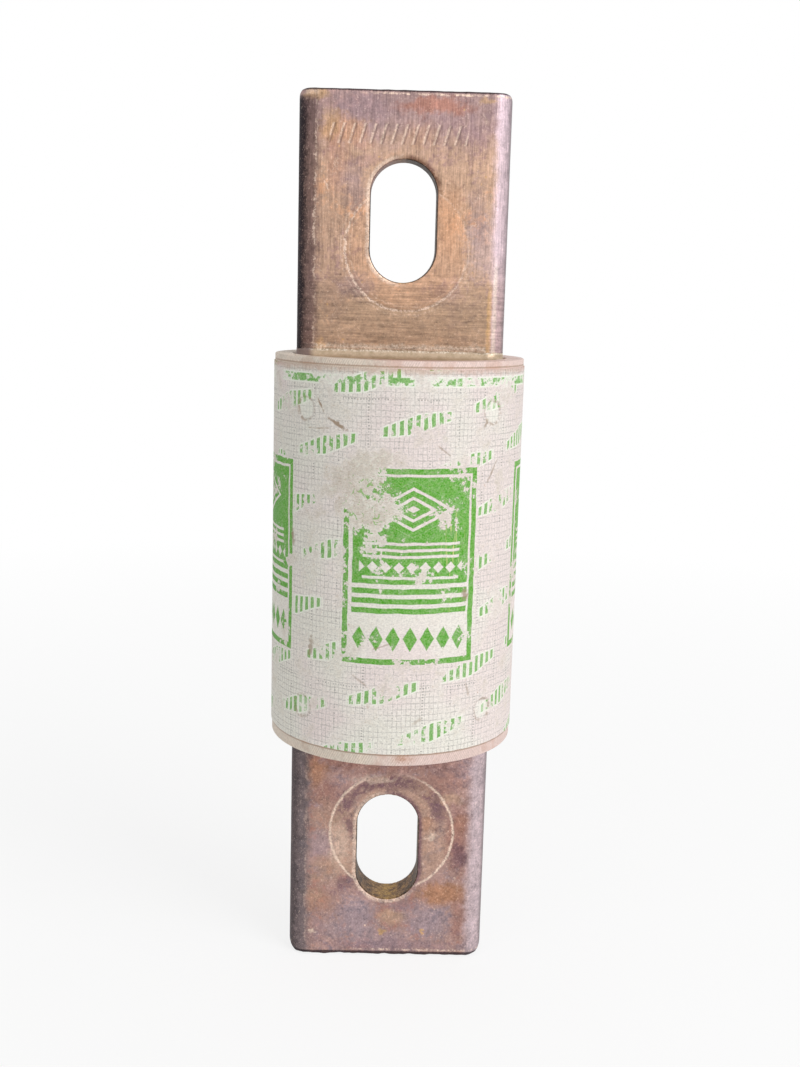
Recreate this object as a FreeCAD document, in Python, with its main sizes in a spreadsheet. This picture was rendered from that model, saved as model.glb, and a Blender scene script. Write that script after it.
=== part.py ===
# Current-limiting power fuse with bolted blade terminals, 600 V class, sand filled.
#
# Frame: the origin is the middle of the barrel, +Z runs up the length towards the upper blade,
# and the wide faces of both blades look along -Y (front) and +Y (back).
#
# Each end is a round metal end bell pinned inside a glass-melamine barrel. The blade's tenon
# is brazed into a mortise in the bell's outer face, and the fuse links are soldered into
# grooves in its inner face. Quartz sand fills the barrel round the links.
import FreeCAD
import Part
import Sketcher
import math
import os

# Driving dimensions in millimetres, degrees and counts
SIZES = {
    "overall_length": 219.1,
    "barrel_length": 95.25,
    "barrel_diameter": 61.0,
    "barrel_wall": 4.4,
    "barrel_end_bevel": 0.7,
    "label_thickness": 0.25,
    "label_upper_margin": 1.8,
    "label_lower_margin": 2.9,
    "blade_width": 50.8,
    "blade_thickness": 9.525,
    "upper_corner_round": 1.8,
    "lower_corner_round": 3.0,
    "bolt_slot_width": 15.9,
    "bolt_slot_length": 28.7,
    "bolt_slot_centres": 158.75,
    "bell_thickness": 19.0,
    "bell_recess": 0.8,
    "bell_fit": 0.05,
    "bell_bevel": 0.6,
    "tenon_shoulder": 3.4,
    "tenon_thickness": 8.0,
    "tenon_depth": 7.0,
    "tenon_fit": 0.05,
    "braze_prep": 2.0,
    "braze_foot": 2.4,
    "braze_end_margin": 5.4,
    "pin_diameter": 6.35,
    "pin_from_end": 11.8,
    "pin_depth": 9.0,
    "pin_sink": 0.05,
    "pin_fit": 0.02,
    "pin_count": 4,
    "pin_first_angle": 45,
    "link_count": 8,
    "link_width": 12.0,
    "link_thickness": 0.4,
    "link_bore_gap": 4.6,
    "link_seat_depth": 4.0,
    "link_fit": 0.05,
    "neck_rows": 5,
    "neck_row_pitch": 9.5,
    "necks_per_row": 3,
    "neck_width": 0.8,
    "bead_edge_margin": 1.5,
    "bead_height": 3.6,
    "bead_thickness": 0.9,
    "bead_bevel": 0.35,
    "sand_gap": 0.1,
    "fill_hole_diameter": 6.4,
    "fill_hole_bore_gap": 6.9,
    "fill_hole_angle": 90,
    "fill_plug_length": 5.0,
    "fill_plug_fit": 0.02,
}

# Sizes that several pieces share, as expressions on the driving dimensions
BARREL_RADIUS = "Sizes.barrel_diameter / 2"
BORE_RADIUS = f"({BARREL_RADIUS} - Sizes.barrel_wall)"
BELL_RADIUS = f"({BORE_RADIUS} - Sizes.bell_fit)"
BELL_FACE = "(Sizes.barrel_length / 2 - Sizes.bell_recess)"
BLADE_LENGTH = f"(Sizes.overall_length / 2 - {BELL_FACE})"
SLOT_HEIGHT = f"(Sizes.bolt_slot_centres / 2 - {BELL_FACE})"
TENON_WIDTH = "(Sizes.blade_width - 2 * Sizes.tenon_shoulder)"
BRAZE_LENGTH = "(Sizes.blade_width - 2 * Sizes.braze_end_margin)"
PIN_HEIGHT = "(Sizes.pin_from_end - Sizes.bell_recess)"
PIN_SEAT = f"({BORE_RADIUS} - Sizes.pin_depth)"
PIN_HEAD = f"(sqrt(({BARREL_RADIUS}) ^ 2 - (Sizes.pin_diameter / 2) ^ 2) - Sizes.pin_sink)"
INNER_HALF = f"({BELL_FACE} - Sizes.bell_thickness)"
LINK_HALF = f"({INNER_HALF} + Sizes.link_seat_depth - Sizes.link_fit)"
LINK_OUTER = f"({BORE_RADIUS} - Sizes.link_bore_gap)"
LINK_INNER = f"({LINK_OUTER} - Sizes.link_width)"
LINK_MIDDLE = f"({LINK_OUTER} - Sizes.link_width / 2)"
NECK_PITCH = "(Sizes.link_width / Sizes.necks_per_row)"
ROWS_HALF = "((Sizes.neck_rows - 1) / 2 * Sizes.neck_row_pitch)"
BEAD_MIDDLE = f"((floor((Sizes.neck_rows - 1) / 2) + 0.5) * Sizes.neck_row_pitch - {ROWS_HALF})"
BEAD_HALF = "(Sizes.link_width / 2 - Sizes.bead_edge_margin)"
BEAD_LOW = f"({BEAD_MIDDLE} - Sizes.bead_height / 2)"
BEAD_HIGH = f"({BEAD_MIDDLE} + Sizes.bead_height / 2)"
FILL_HOLE_OUT = f"({BORE_RADIUS} - Sizes.fill_hole_bore_gap - Sizes.fill_hole_diameter / 2)"

doc = FreeCAD.newDocument("CurrentLimitingFuse")
sheet = doc.addObject("Spreadsheet::Sheet", "Sizes")
for row, (alias, size) in enumerate(SIZES.items(), start=1):
    sheet.set(f"A{row}", alias)
    sheet.set(f"B{row}", str(size))
    sheet.setAlias(f"B{row}", alias)
doc.recompute()

NORMAL = FreeCAD.Vector(0, 0, 1)  # every sketch's own normal
made = []  # the finished sub-parts, in the order they are written


def number(expression):
    """The value of an expression on the sheet's sizes."""
    value = sheet.evalExpression(expression)
    return float(getattr(value, "Value", value))


def new_body(label):
    """A body that is one sub-part of the fuse."""
    body = doc.addObject("PartDesign::Body", label)
    body.Label = label
    made.append(body)
    return body


def origin_feature(body, role):
    """One of the body's own origin planes or axes, such as XY_Plane or Z_Axis."""
    return next(f for f in body.Origin.OriginFeatures if f.Role == role)


def new_sketch(body, role, name, height="0", turn=0.0):
    """A sketch on one of the body's origin planes, raised by height and turned about the normal."""
    sketch = body.newObject("Sketcher::SketchObject", name)
    sketch.AttachmentSupport = [(origin_feature(body, role), "")]
    sketch.MapMode = "FlatFace"
    sketch.AttachmentOffset = FreeCAD.Placement(
        FreeCAD.Vector(0, 0, 0), FreeCAD.Rotation(FreeCAD.Vector(0, 0, 1), turn)
    )
    sketch.setExpression("AttachmentOffset.Base.z", height)
    return sketch


def bind(sketch, name, expression, *constraint):
    """Adds a dimension to a sketch and binds it to the sheet."""
    index = sketch.addConstraint(Sketcher.Constraint(*constraint))
    sketch.renameConstraint(index, name)
    sketch.setExpression(f"Constraints.{name}", expression)


def draw_circle(sketch, name, radius):
    """A circle round the sketch's origin."""
    circle = sketch.addGeometry(Part.Circle(FreeCAD.Vector(), NORMAL, number(radius)))
    sketch.addConstraint(Sketcher.Constraint("Coincident", circle, 3, -1, 1))
    bind(sketch, name, radius, "Radius", circle, number(radius))


def draw_circle_at(sketch, name, radius, out):
    """A circle with its middle on the sketch's X axis, that far out."""
    centre = FreeCAD.Vector(number(out), 0, 0)
    circle = sketch.addGeometry(Part.Circle(centre, NORMAL, number(radius)))
    sketch.addConstraint(Sketcher.Constraint("PointOnObject", circle, 3, -1))
    bind(sketch, f"{name}_radius", radius, "Radius", circle, number(radius))
    bind(sketch, f"{name}_out", out, "DistanceX", -1, 1, circle, 3, number(out))


def draw_polygon(sketch, name, points):
    """A closed outline through points, each a pair of expressions, dimensioned from the origin."""
    places = [FreeCAD.Vector(number(x), number(y), 0) for x, y in points]
    lines = []
    for here, there in zip(places, places[1:] + places[:1]):
        lines.append(sketch.addGeometry(Part.LineSegment(here, there)))
    for line, after in zip(lines, lines[1:] + lines[:1]):
        sketch.addConstraint(Sketcher.Constraint("Coincident", line, 2, after, 1))
    for n, (line, (x, y), place) in enumerate(zip(lines, points, places), start=1):
        for letter, expression, kind, distance, zero_line in (
            ("x", x, "DistanceX", place.x, -2),
            ("y", y, "DistanceY", place.y, -1),
        ):
            if abs(distance) < 1e-9:
                sketch.addConstraint(Sketcher.Constraint("PointOnObject", line, 1, zero_line))
            else:
                bind(sketch, f"{name}_{letter}{n}", expression, kind, -1, 1, line, 1, distance)


def half_circle(centre, radius, start):
    """Half a circle, anticlockwise from the start angle in radians."""
    return Part.ArcOfCircle(Part.Circle(centre, NORMAL, radius), start, start + math.pi)


def draw_stadium(sketch, name, length, width, middle="0", upright=False):
    """A slot outline with round ends. An upright one runs along the sketch's Y, others along its X."""
    centre = number(middle)
    end_radius = number(width) / 2
    reach = number(length) / 2 - end_radius
    if upright:
        ends = (FreeCAD.Vector(0, centre + reach, 0), FreeCAD.Vector(0, centre - reach, 0))
        start = 0.0
    else:
        ends = (FreeCAD.Vector(reach, centre, 0), FreeCAD.Vector(-reach, centre, 0))
        start = -math.pi / 2
    first = sketch.addGeometry(half_circle(ends[0], end_radius, start))
    second = sketch.addGeometry(half_circle(ends[1], end_radius, start + math.pi))
    arcs = [sketch.Geometry[first], sketch.Geometry[second]]
    side = sketch.addGeometry(Part.LineSegment(arcs[0].EndPoint, arcs[1].StartPoint))
    other = sketch.addGeometry(Part.LineSegment(arcs[1].EndPoint, arcs[0].StartPoint))
    sketch.addConstraint(Sketcher.Constraint("Tangent", first, 2, side, 1))
    sketch.addConstraint(Sketcher.Constraint("Tangent", side, 2, second, 1))
    sketch.addConstraint(Sketcher.Constraint("Tangent", second, 2, other, 1))
    sketch.addConstraint(Sketcher.Constraint("Tangent", other, 2, first, 1))
    sketch.addConstraint(Sketcher.Constraint("Equal", first, second))
    bind(sketch, f"{name}_end_radius", f"({width}) / 2", "Radius", first, end_radius)
    spread = f"({length}) - ({width})"
    if upright:
        sketch.addConstraint(Sketcher.Constraint("PointOnObject", first, 3, -2))
        sketch.addConstraint(Sketcher.Constraint("PointOnObject", second, 3, -2))
        bind(sketch, f"{name}_spread", spread, "DistanceY", second, 3, first, 3, 2 * reach)
        low_end = f"({middle}) - ({spread}) / 2"
        bind(sketch, f"{name}_low_end", low_end, "DistanceY", -1, 1, second, 3, centre - reach)
    else:
        sketch.addConstraint(Sketcher.Constraint("PointOnObject", first, 3, -1))
        sketch.addConstraint(Sketcher.Constraint("Symmetric", first, 3, second, 3, -1, 1))
        bind(sketch, f"{name}_spread", spread, "DistanceX", second, 3, first, 3, 2 * reach)


def pad(body, sketch, name, length, both_ways=False, backwards=False):
    """Adds the sketch's profile, carried along its normal for that length."""
    feature = body.newObject("PartDesign::Pad", name)
    feature.Profile = sketch
    feature.SideType = "Symmetric" if both_ways else "One side"
    feature.Reversed = backwards
    feature.setExpression("Length", length)
    doc.recompute()
    return feature


def pocket(body, sketch, name, depth=None, outwards=False, both_ways=False):
    """Cuts the sketch's profile against its normal, or along it if outwards: right through if no depth."""
    before = body.Shape.Volume
    feature = body.newObject("PartDesign::Pocket", name)
    feature.Profile = sketch
    feature.SideType = "Symmetric" if both_ways else "One side"
    feature.Reversed = outwards
    if depth is None:
        feature.Type = "ThroughAll"
    else:
        feature.Type = "Length"
        feature.setExpression("Length", depth)
    doc.recompute()
    if not body.Shape.Volume < before:
        raise RuntimeError(f"{body.Label}: {name} cuts nothing")
    return feature


def ring_pattern(body, original, name, count):
    """Repeats a feature evenly round the body's Z axis."""
    pattern = body.newObject("PartDesign::PolarPattern", name)
    pattern.Originals = [original]
    pattern.Axis = (origin_feature(body, "Z_Axis"), [""])
    pattern.Angle = 360
    pattern.setExpression("Occurrences", count)
    body.Tip = pattern
    doc.recompute()
    return pattern


def bevel(body, name, size, test):
    """Bevels the edges that pass a test."""
    base = body.Tip
    feature = body.newObject("PartDesign::Chamfer", name)
    feature.Base = (base, [f"Edge{n}" for n, edge in enumerate(base.Shape.Edges, start=1) if test(edge)])
    feature.setExpression("Size", size)
    doc.recompute()


def is_round_edge(edge, radius, height=None):
    """True for a whole circle of that radius, at that height where one is given."""
    curve = edge.Curve
    if curve.TypeId != "Part::GeomCircle" or abs(curve.Radius - radius) > 1e-4:
        return False
    return height is None or abs(curve.Center.z - height) < 1e-4


def place_at_end(body, side):
    """Moves a piece drawn on a bell's outer face to the upper end (side 1) or the lower end (side -1)."""
    turn = 0 if side > 0 else 180
    rotation = FreeCAD.Rotation(FreeCAD.Vector(1, 0, 0), turn)
    body.Placement = FreeCAD.Placement(FreeCAD.Vector(0, 0, 0), rotation)
    body.setExpression("Placement.Base.z", f"{side} * {BELL_FACE}")


def end_name(side, what):
    return f"{'upper' if side > 0 else 'lower'}_{what}"


def radial_sketch(body, name, distance, height, angle="Sizes.pin_first_angle"):
    """A sketch that faces outwards from the Z axis at that angle, that far from the axis and that high."""
    sketch = body.newObject("Sketcher::SketchObject", name)
    sketch.AttachmentSupport = [(origin_feature(body, "YZ_Plane"), "")]
    sketch.MapMode = "FlatFace"
    turn = FreeCAD.Rotation(FreeCAD.Vector(0, 1, 0), number(angle))
    sketch.AttachmentOffset = FreeCAD.Placement(FreeCAD.Vector(0, 0, 0), turn)
    sketch.setExpression("AttachmentOffset.Base.x", f"({distance}) * sin({angle})")
    sketch.setExpression("AttachmentOffset.Base.z", f"({distance}) * cos({angle})")
    sketch.setExpression("AttachmentOffset.Base.y", height)
    return sketch


def make_barrel():
    """Glass-cloth and melamine tube with bevelled ends and a ring of pin holes near each end."""
    body = new_body("barrel")
    rings = new_sketch(body, "XY_Plane", "barrel_section")
    draw_circle(rings, "outside", BARREL_RADIUS)
    draw_circle(rings, "bore", BORE_RADIUS)
    pad(body, rings, "barrel_tube", "Sizes.barrel_length", both_ways=True)
    outside = number(BARREL_RADIUS)
    bevel(body, "barrel_rims", "Sizes.barrel_end_bevel", lambda e: is_round_edge(e, outside))
    for side in (1, -1):
        where = end_name(side, "pin_hole")
        height = f"{side} * (Sizes.barrel_length / 2 - Sizes.pin_from_end)"
        hole = radial_sketch(body, f"{where}_sketch", "0", height)
        draw_circle(hole, "pin_hole", "Sizes.pin_diameter / 2")
        cut = pocket(body, hole, where, outwards=True)
        ring_pattern(body, cut, f"{where}s", "Sizes.pin_count")


def make_label():
    """Thin printed wrap glued round the barrel and over the pin heads."""
    body = new_body("printed_label")
    bottom = "-Sizes.barrel_length / 2 + Sizes.label_lower_margin"
    rings = new_sketch(body, "XY_Plane", "label_section", height=bottom)
    draw_circle(rings, "outside", f"{BARREL_RADIUS} + Sizes.label_thickness")
    draw_circle(rings, "inside", BARREL_RADIUS)
    length = "Sizes.barrel_length - Sizes.label_lower_margin - Sizes.label_upper_margin"
    pad(body, rings, "label_wrap", length)


def make_blade(side):
    """Round-edged copper bar with a long bolt slot, and a tenon that seats in the bell's mortise."""
    name = end_name(side, "blade")
    body = new_body(name)
    bar = new_sketch(body, "XY_Plane", f"{name}_bar_section")
    draw_stadium(bar, "bar", "Sizes.blade_width", "Sizes.blade_thickness")
    pad(body, bar, f"{name}_bar", BLADE_LENGTH)

    corners = new_sketch(body, "XZ_Plane", f"{name}_corner_outline")
    draw_blade_corners(corners, f"Sizes.{end_name(side, 'corner_round')}")
    pocket(body, corners, f"{name}_corners", both_ways=True)

    slot = new_sketch(body, "XZ_Plane", f"{name}_slot_outline")
    length, width = "Sizes.bolt_slot_length", "Sizes.bolt_slot_width"
    draw_stadium(slot, "slot", length, width, middle=SLOT_HEIGHT, upright=True)
    pocket(body, slot, f"{name}_slot", both_ways=True)

    prep = new_sketch(body, "YZ_Plane", f"{name}_prep_outline")
    face = "Sizes.blade_thickness / 2"
    for sign in (1, -1):
        draw_polygon(
            prep,
            "front" if sign < 0 else "back",
            [
                (f"{sign} * {face}", "0"),
                (f"{sign} * {face}", "Sizes.braze_prep"),
                (f"{sign} * ({face} - Sizes.braze_prep)", "0"),
            ],
        )
    pocket(body, prep, f"{name}_braze_prep", BRAZE_LENGTH, both_ways=True)

    tenon = new_sketch(body, "XY_Plane", f"{name}_tenon_section")
    draw_stadium(tenon, "tenon", TENON_WIDTH, "Sizes.tenon_thickness")
    pad(body, tenon, f"{name}_tenon", "Sizes.tenon_depth - Sizes.tenon_fit", backwards=True)

    place_at_end(body, side)


def draw_blade_corners(sketch, size):
    """The waste outside both round corners at the blade's free end."""
    half = number("Sizes.blade_width / 2")
    top = number(BLADE_LENGTH)
    radius = number(size)
    for sign in (1, -1):
        where = "right" if sign > 0 else "left"
        centre = FreeCAD.Vector(sign * (half - radius), top - radius, 0)
        start = 0 if sign > 0 else math.pi / 2
        circle = Part.Circle(centre, NORMAL, radius)
        arc = sketch.addGeometry(Part.ArcOfCircle(circle, start, start + math.pi / 2))
        tip = FreeCAD.Vector(sign * half, top, 0)
        low = FreeCAD.Vector(sign * half, top - radius, 0)
        high = FreeCAD.Vector(sign * (half - radius), top, 0)
        upright = sketch.addGeometry(Part.LineSegment(low, tip))
        level = sketch.addGeometry(Part.LineSegment(tip, high))
        arc_low, arc_high = (1, 2) if sign > 0 else (2, 1)
        sketch.addConstraint(Sketcher.Constraint("Vertical", upright))
        sketch.addConstraint(Sketcher.Constraint("Horizontal", level))
        sketch.addConstraint(Sketcher.Constraint("Coincident", upright, 2, level, 1))
        sketch.addConstraint(Sketcher.Constraint("Tangent", upright, 1, arc, arc_low))
        sketch.addConstraint(Sketcher.Constraint("Tangent", level, 2, arc, arc_high))
        bind(sketch, f"{where}_radius", size, "Radius", arc, radius)
        side_place = f"{sign} * Sizes.blade_width / 2"
        bind(sketch, f"{where}_side", side_place, "DistanceX", -1, 1, upright, 2, sign * half)
        bind(sketch, f"{where}_top", BLADE_LENGTH, "DistanceY", -1, 1, upright, 2, top)


def make_bell(side):
    """Turned end bell: the blade's mortise, pin holes and link seats, and in the upper one a fill hole."""
    name = end_name(side, "end_bell")
    body = new_body(name)
    disc = new_sketch(body, "XY_Plane", f"{name}_disc_outline")
    draw_circle(disc, "rim", BELL_RADIUS)
    pad(body, disc, f"{name}_disc", "Sizes.bell_thickness", backwards=True)
    rim = number(BELL_RADIUS)
    bevel(body, f"{name}_rim_bevel", "Sizes.bell_bevel", lambda e: is_round_edge(e, rim, 0.0))

    mortise = new_sketch(body, "XY_Plane", f"{name}_mortise_outline")
    width = f"{TENON_WIDTH} + 2 * Sizes.tenon_fit"
    thickness = "Sizes.tenon_thickness + 2 * Sizes.tenon_fit"
    draw_stadium(mortise, "mortise", width, thickness)
    pocket(body, mortise, f"{name}_mortise", "Sizes.tenon_depth")

    hole = radial_sketch(body, f"{name}_pin_hole_sketch", PIN_SEAT, f"-{PIN_HEIGHT}")
    draw_circle(hole, "pin_hole", "Sizes.pin_diameter / 2")
    cut = pocket(body, hole, f"{name}_pin_hole", outwards=True)
    ring_pattern(body, cut, f"{name}_pin_holes", "Sizes.pin_count")

    first_seat = side * link_angle(0)
    seats = new_sketch(
        body, "XY_Plane", f"{name}_link_seat_outline", height="-Sizes.bell_thickness", turn=first_seat
    )
    near = f"({LINK_INNER} - Sizes.link_fit)"
    far = f"({LINK_OUTER} + Sizes.link_fit)"
    flank = "(Sizes.link_thickness / 2 + Sizes.link_fit)"
    draw_polygon(seats, "seat", [(near, f"-{flank}"), (far, f"-{flank}"), (far, flank), (near, flank)])
    seat = pocket(body, seats, f"{name}_link_seat", "Sizes.link_seat_depth", outwards=True)
    ring_pattern(body, seat, f"{name}_link_seats", "Sizes.link_count")

    if side > 0:
        fill = new_sketch(body, "XY_Plane", "fill_hole_outline", turn=number("Sizes.fill_hole_angle"))
        draw_circle_at(fill, "fill_hole", "Sizes.fill_hole_diameter / 2", FILL_HOLE_OUT)
        pocket(body, fill, "fill_hole")
    place_at_end(body, side)


def make_braze(side):
    """The two braze fillets that join the blade's root to the bell, one on each wide face."""
    name = end_name(side, "braze_fillets")
    body = new_body(name)
    body.AllowCompound = True
    section = new_sketch(body, "YZ_Plane", f"{name}_section")
    face = "Sizes.blade_thickness / 2"
    draw_polygon(
        section,
        "fillet",
        [
            (f"({face} - Sizes.braze_prep)", "0"),
            (f"({face} + Sizes.braze_foot)", "0"),
            (f"({face} + Sizes.braze_foot / 4)", "Sizes.braze_prep / 3"),
            (face, "Sizes.braze_prep"),
        ],
    )
    bead = pad(body, section, f"{name}_back", BRAZE_LENGTH, both_ways=True)
    mirror = body.newObject("PartDesign::Mirrored", f"{name}_front")
    mirror.Originals = [bead]
    mirror.MirrorPlane = (origin_feature(body, "XZ_Plane"), [""])
    body.Tip = mirror
    doc.recompute()
    place_at_end(body, side)


def make_pins(side):
    """Round steel drive pins that lock the barrel to the bell, driven just under the barrel's surface."""
    name = end_name(side, "drive_pins")
    body = new_body(name)
    body.AllowCompound = True
    outline = radial_sketch(body, f"{name}_outline", f"{PIN_SEAT} + Sizes.pin_fit", f"-{PIN_HEIGHT}")
    draw_circle(outline, "pin", "Sizes.pin_diameter / 2 - Sizes.pin_fit")
    pin = pad(body, outline, f"{name}_pin", f"{PIN_HEAD} - {PIN_SEAT} - Sizes.pin_fit")
    ring_pattern(body, pin, f"{name}_ring", "Sizes.pin_count")
    place_at_end(body, side)


def link_angle(index):
    """Angle of a link round the axis. The fill hole lies midway between two links."""
    step = 360 / number("Sizes.link_count")
    return number("Sizes.fill_hole_angle") + step * (index + 0.5)


def place_at_link(body, index):
    """Moves a piece drawn on the XZ plane to its link's place, with its X axis pointing outwards."""
    angle = link_angle(index)
    rotation = FreeCAD.Rotation(FreeCAD.Vector(0, 0, 1), angle)
    body.Placement = FreeCAD.Placement(FreeCAD.Vector(0, 0, 0), rotation)
    body.setExpression("Placement.Base.x", f"{LINK_MIDDLE} * cos({angle})")
    body.setExpression("Placement.Base.y", f"{LINK_MIDDLE} * sin({angle})")


def make_link(index):
    """Fusible strip with rows of lozenge holes and edge notches, which leave necks that melt first."""
    name = f"fuse_link_{index + 1}"
    body = new_body(name)
    strip = new_sketch(body, "XZ_Plane", f"{name}_strip_outline")
    edge = "Sizes.link_width / 2"
    draw_polygon(
        strip,
        "strip",
        [
            (f"-{edge}", f"-{LINK_HALF}"),
            (edge, f"-{LINK_HALF}"),
            (edge, LINK_HALF),
            (f"-{edge}", LINK_HALF),
        ],
    )
    pad(body, strip, f"{name}_strip", "Sizes.link_thickness", both_ways=True)

    row = new_sketch(body, "XZ_Plane", f"{name}_row_outline")
    reach = f"(({NECK_PITCH} - Sizes.neck_width) / 2)"
    base = f"(-{ROWS_HALF})"
    for place in range(int(number("Sizes.necks_per_row")) + 1):
        middle = f"({place} * {NECK_PITCH} - {edge})"
        draw_polygon(
            row,
            f"lozenge{place + 1}",
            [
                (f"({middle} - {reach})", base),
                (middle, f"({base} - {reach})"),
                (f"({middle} + {reach})", base),
                (middle, f"({base} + {reach})"),
            ],
        )
    cut = pocket(body, row, f"{name}_row", both_ways=True)
    rows = body.newObject("PartDesign::LinearPattern", f"{name}_rows")
    rows.Originals = [cut]
    rows.Direction = (origin_feature(body, "Z_Axis"), [""])
    rows.setExpression("Length", f"2 * {ROWS_HALF}")
    rows.setExpression("Occurrences", "Sizes.neck_rows")
    body.Tip = rows
    doc.recompute()
    place_at_link(body, index)


def make_bead(index):
    """Tin bead on one side of a link, beside the middle row of necks, that melts in on a slow overload."""
    name = f"overload_bead_{index + 1}"
    body = new_body(name)
    outline = new_sketch(body, "XZ_Plane", f"{name}_outline", height="Sizes.link_thickness / 2")
    draw_polygon(
        outline,
        "bead",
        [
            (f"-{BEAD_HALF}", BEAD_LOW),
            (BEAD_HALF, BEAD_LOW),
            (BEAD_HALF, BEAD_HIGH),
            (f"-{BEAD_HALF}", BEAD_HIGH),
        ],
    )
    pad(body, outline, f"{name}_patch", "Sizes.bead_thickness")
    top = -number("Sizes.link_thickness / 2 + Sizes.bead_thickness")

    def on_top(edge):
        return abs(edge.BoundBox.YMin - top) < 1e-4 and abs(edge.BoundBox.YMax - top) < 1e-4

    bevel(body, f"{name}_crown", "Sizes.bead_bevel", on_top)
    place_at_link(body, index)


def make_sand():
    """Compacted quartz sand between the bells, with a slit for each link and a hollow for its bead."""
    body = new_body("sand_filler")
    disc = new_sketch(body, "XY_Plane", "sand_section")
    draw_circle(disc, "sand_outside", f"{BORE_RADIUS} - Sizes.sand_gap")
    pad(body, disc, "sand_fill", f"2 * ({INNER_HALF} - Sizes.sand_gap)", both_ways=True)

    slit = new_sketch(body, "XY_Plane", "slit_outline", turn=link_angle(0))
    near = f"({LINK_INNER} - Sizes.sand_gap)"
    far = f"({LINK_OUTER} + Sizes.sand_gap)"
    flank = "(Sizes.link_thickness / 2 + Sizes.sand_gap)"
    draw_polygon(slit, "slit", [(near, f"-{flank}"), (far, f"-{flank}"), (far, flank), (near, flank)])
    cut = pocket(body, slit, "link_slit", both_ways=True)
    ring_pattern(body, cut, "link_slits", "Sizes.link_count")

    bottom = f"({BEAD_LOW} - Sizes.sand_gap)"
    hollow = new_sketch(body, "XY_Plane", "bead_hollow_outline", height=bottom, turn=link_angle(0))
    half = f"({BEAD_HALF} + Sizes.sand_gap)"
    top = "(Sizes.link_thickness / 2 + Sizes.bead_thickness + Sizes.sand_gap)"
    corners = [
        (f"({LINK_MIDDLE} - {half})", f"-{top}"),
        (f"({LINK_MIDDLE} + {half})", f"-{top}"),
        (f"({LINK_MIDDLE} + {half})", "0"),
        (f"({LINK_MIDDLE} - {half})", "0"),
    ]
    draw_polygon(hollow, "hollow", corners)
    bead = pocket(body, hollow, "bead_hollow", "Sizes.bead_height + 2 * Sizes.sand_gap", outwards=True)
    ring_pattern(body, bead, "bead_hollows", "Sizes.link_count")


def make_fill_plug():
    """Pressed plug that closes the upper bell's fill hole, flush with the bell's face."""
    body = new_body("fill_plug")
    outline = new_sketch(body, "XY_Plane", "plug_outline", turn=number("Sizes.fill_hole_angle"))
    radius = "Sizes.fill_hole_diameter / 2 - Sizes.fill_plug_fit"
    draw_circle_at(outline, "plug", radius, FILL_HOLE_OUT)
    pad(body, outline, "plug_disc", "Sizes.fill_plug_length", backwards=True)
    place_at_end(body, 1)


make_barrel()
make_label()
for end in (1, -1):
    make_blade(end)
    make_bell(end)
    make_braze(end)
    make_pins(end)
for link in range(int(number("Sizes.link_count"))):
    make_link(link)
    make_bead(link)
make_sand()
make_fill_plug()
doc.recompute()

for item in doc.Objects:
    if {"Invalid", "Error"} & set(item.State):
        raise RuntimeError(f"{item.Label} failed: {item.State}")
for piece in made:
    if piece.Shape.isNull() or not piece.Shape.isValid() or not piece.Shape.Solids:
        raise RuntimeError(f"{piece.Label} has no valid solid")

os.makedirs("parts", exist_ok=True)
for piece in made:
    piece.Shape.exportStep(f"parts/{piece.Label}.step")
    print(f"{piece.Label}: {len(piece.Shape.Solids)} solid(s), {piece.Shape.Volume / 1000:.3f} cm3")
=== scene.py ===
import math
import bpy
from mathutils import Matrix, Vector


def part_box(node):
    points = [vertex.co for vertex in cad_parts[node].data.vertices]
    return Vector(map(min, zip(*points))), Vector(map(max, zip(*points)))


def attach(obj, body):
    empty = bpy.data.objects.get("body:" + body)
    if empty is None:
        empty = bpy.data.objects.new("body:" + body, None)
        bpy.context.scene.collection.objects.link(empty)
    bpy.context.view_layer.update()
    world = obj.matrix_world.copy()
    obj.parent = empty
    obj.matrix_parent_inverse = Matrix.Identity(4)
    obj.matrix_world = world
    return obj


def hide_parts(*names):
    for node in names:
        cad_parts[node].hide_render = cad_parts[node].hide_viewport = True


bl_info = {
    "name": "Current-limiting fuse",
    "version": (1, 0, 0),
    "blender": (4, 5, 0),
    "location": "3D View > Sidebar > Fuse",
    "description": "Dresses the packed frame of a used bolt-in current-limiting fuse",
    "category": "Object",
}

import bmesh
import bpy
from mathutils import Matrix, Vector, noise

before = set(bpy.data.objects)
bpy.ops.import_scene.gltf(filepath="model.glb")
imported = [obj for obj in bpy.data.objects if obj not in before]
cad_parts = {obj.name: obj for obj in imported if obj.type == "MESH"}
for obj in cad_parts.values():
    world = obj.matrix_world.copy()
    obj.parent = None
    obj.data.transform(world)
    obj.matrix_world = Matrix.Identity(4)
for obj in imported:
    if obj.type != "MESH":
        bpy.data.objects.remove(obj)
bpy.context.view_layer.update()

MM = 0.001
# Vertices closer than this are one.
WELD = 0.001 * MM
# Azimuth 0 is the front of the fuse (-Y) and grows towards its right side (+X).
PIN_AZIMUTHS = [math.radians(angle) for angle in (45, 135, 225, 315)]
PANEL_COUNT = 4
# The photograph is 800 by 1067 pixels. These come from fitting the camera to the fuse's own corners in it.
CAMERA_PLACE = (-0.004593, -0.326182, 0.062251)
CAMERA_YAW = math.radians(-1.0252)
CAMERA_PITCH = math.radians(-10.3182)
CAMERA_ROLL = math.radians(1.5195)
CAMERA_LENS = 44.29


def linear(code):
    """Turns an sRGB hex colour into Blender's linear red, green, blue and alpha."""
    channels = [int(code[i : i + 2], 16) / 255 for i in (1, 3, 5)]
    return tuple(c / 12.92 if c <= 0.04045 else ((c + 0.055) / 1.055) ** 2.4 for c in channels) + (1.0,)


def colour(name, code, what):
    """A colour that a user may change."""
    return bpy.props.FloatVectorProperty(
        name=name, description=what, default=linear(code), subtype="COLOR", size=4, min=0, max=1
    )


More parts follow.
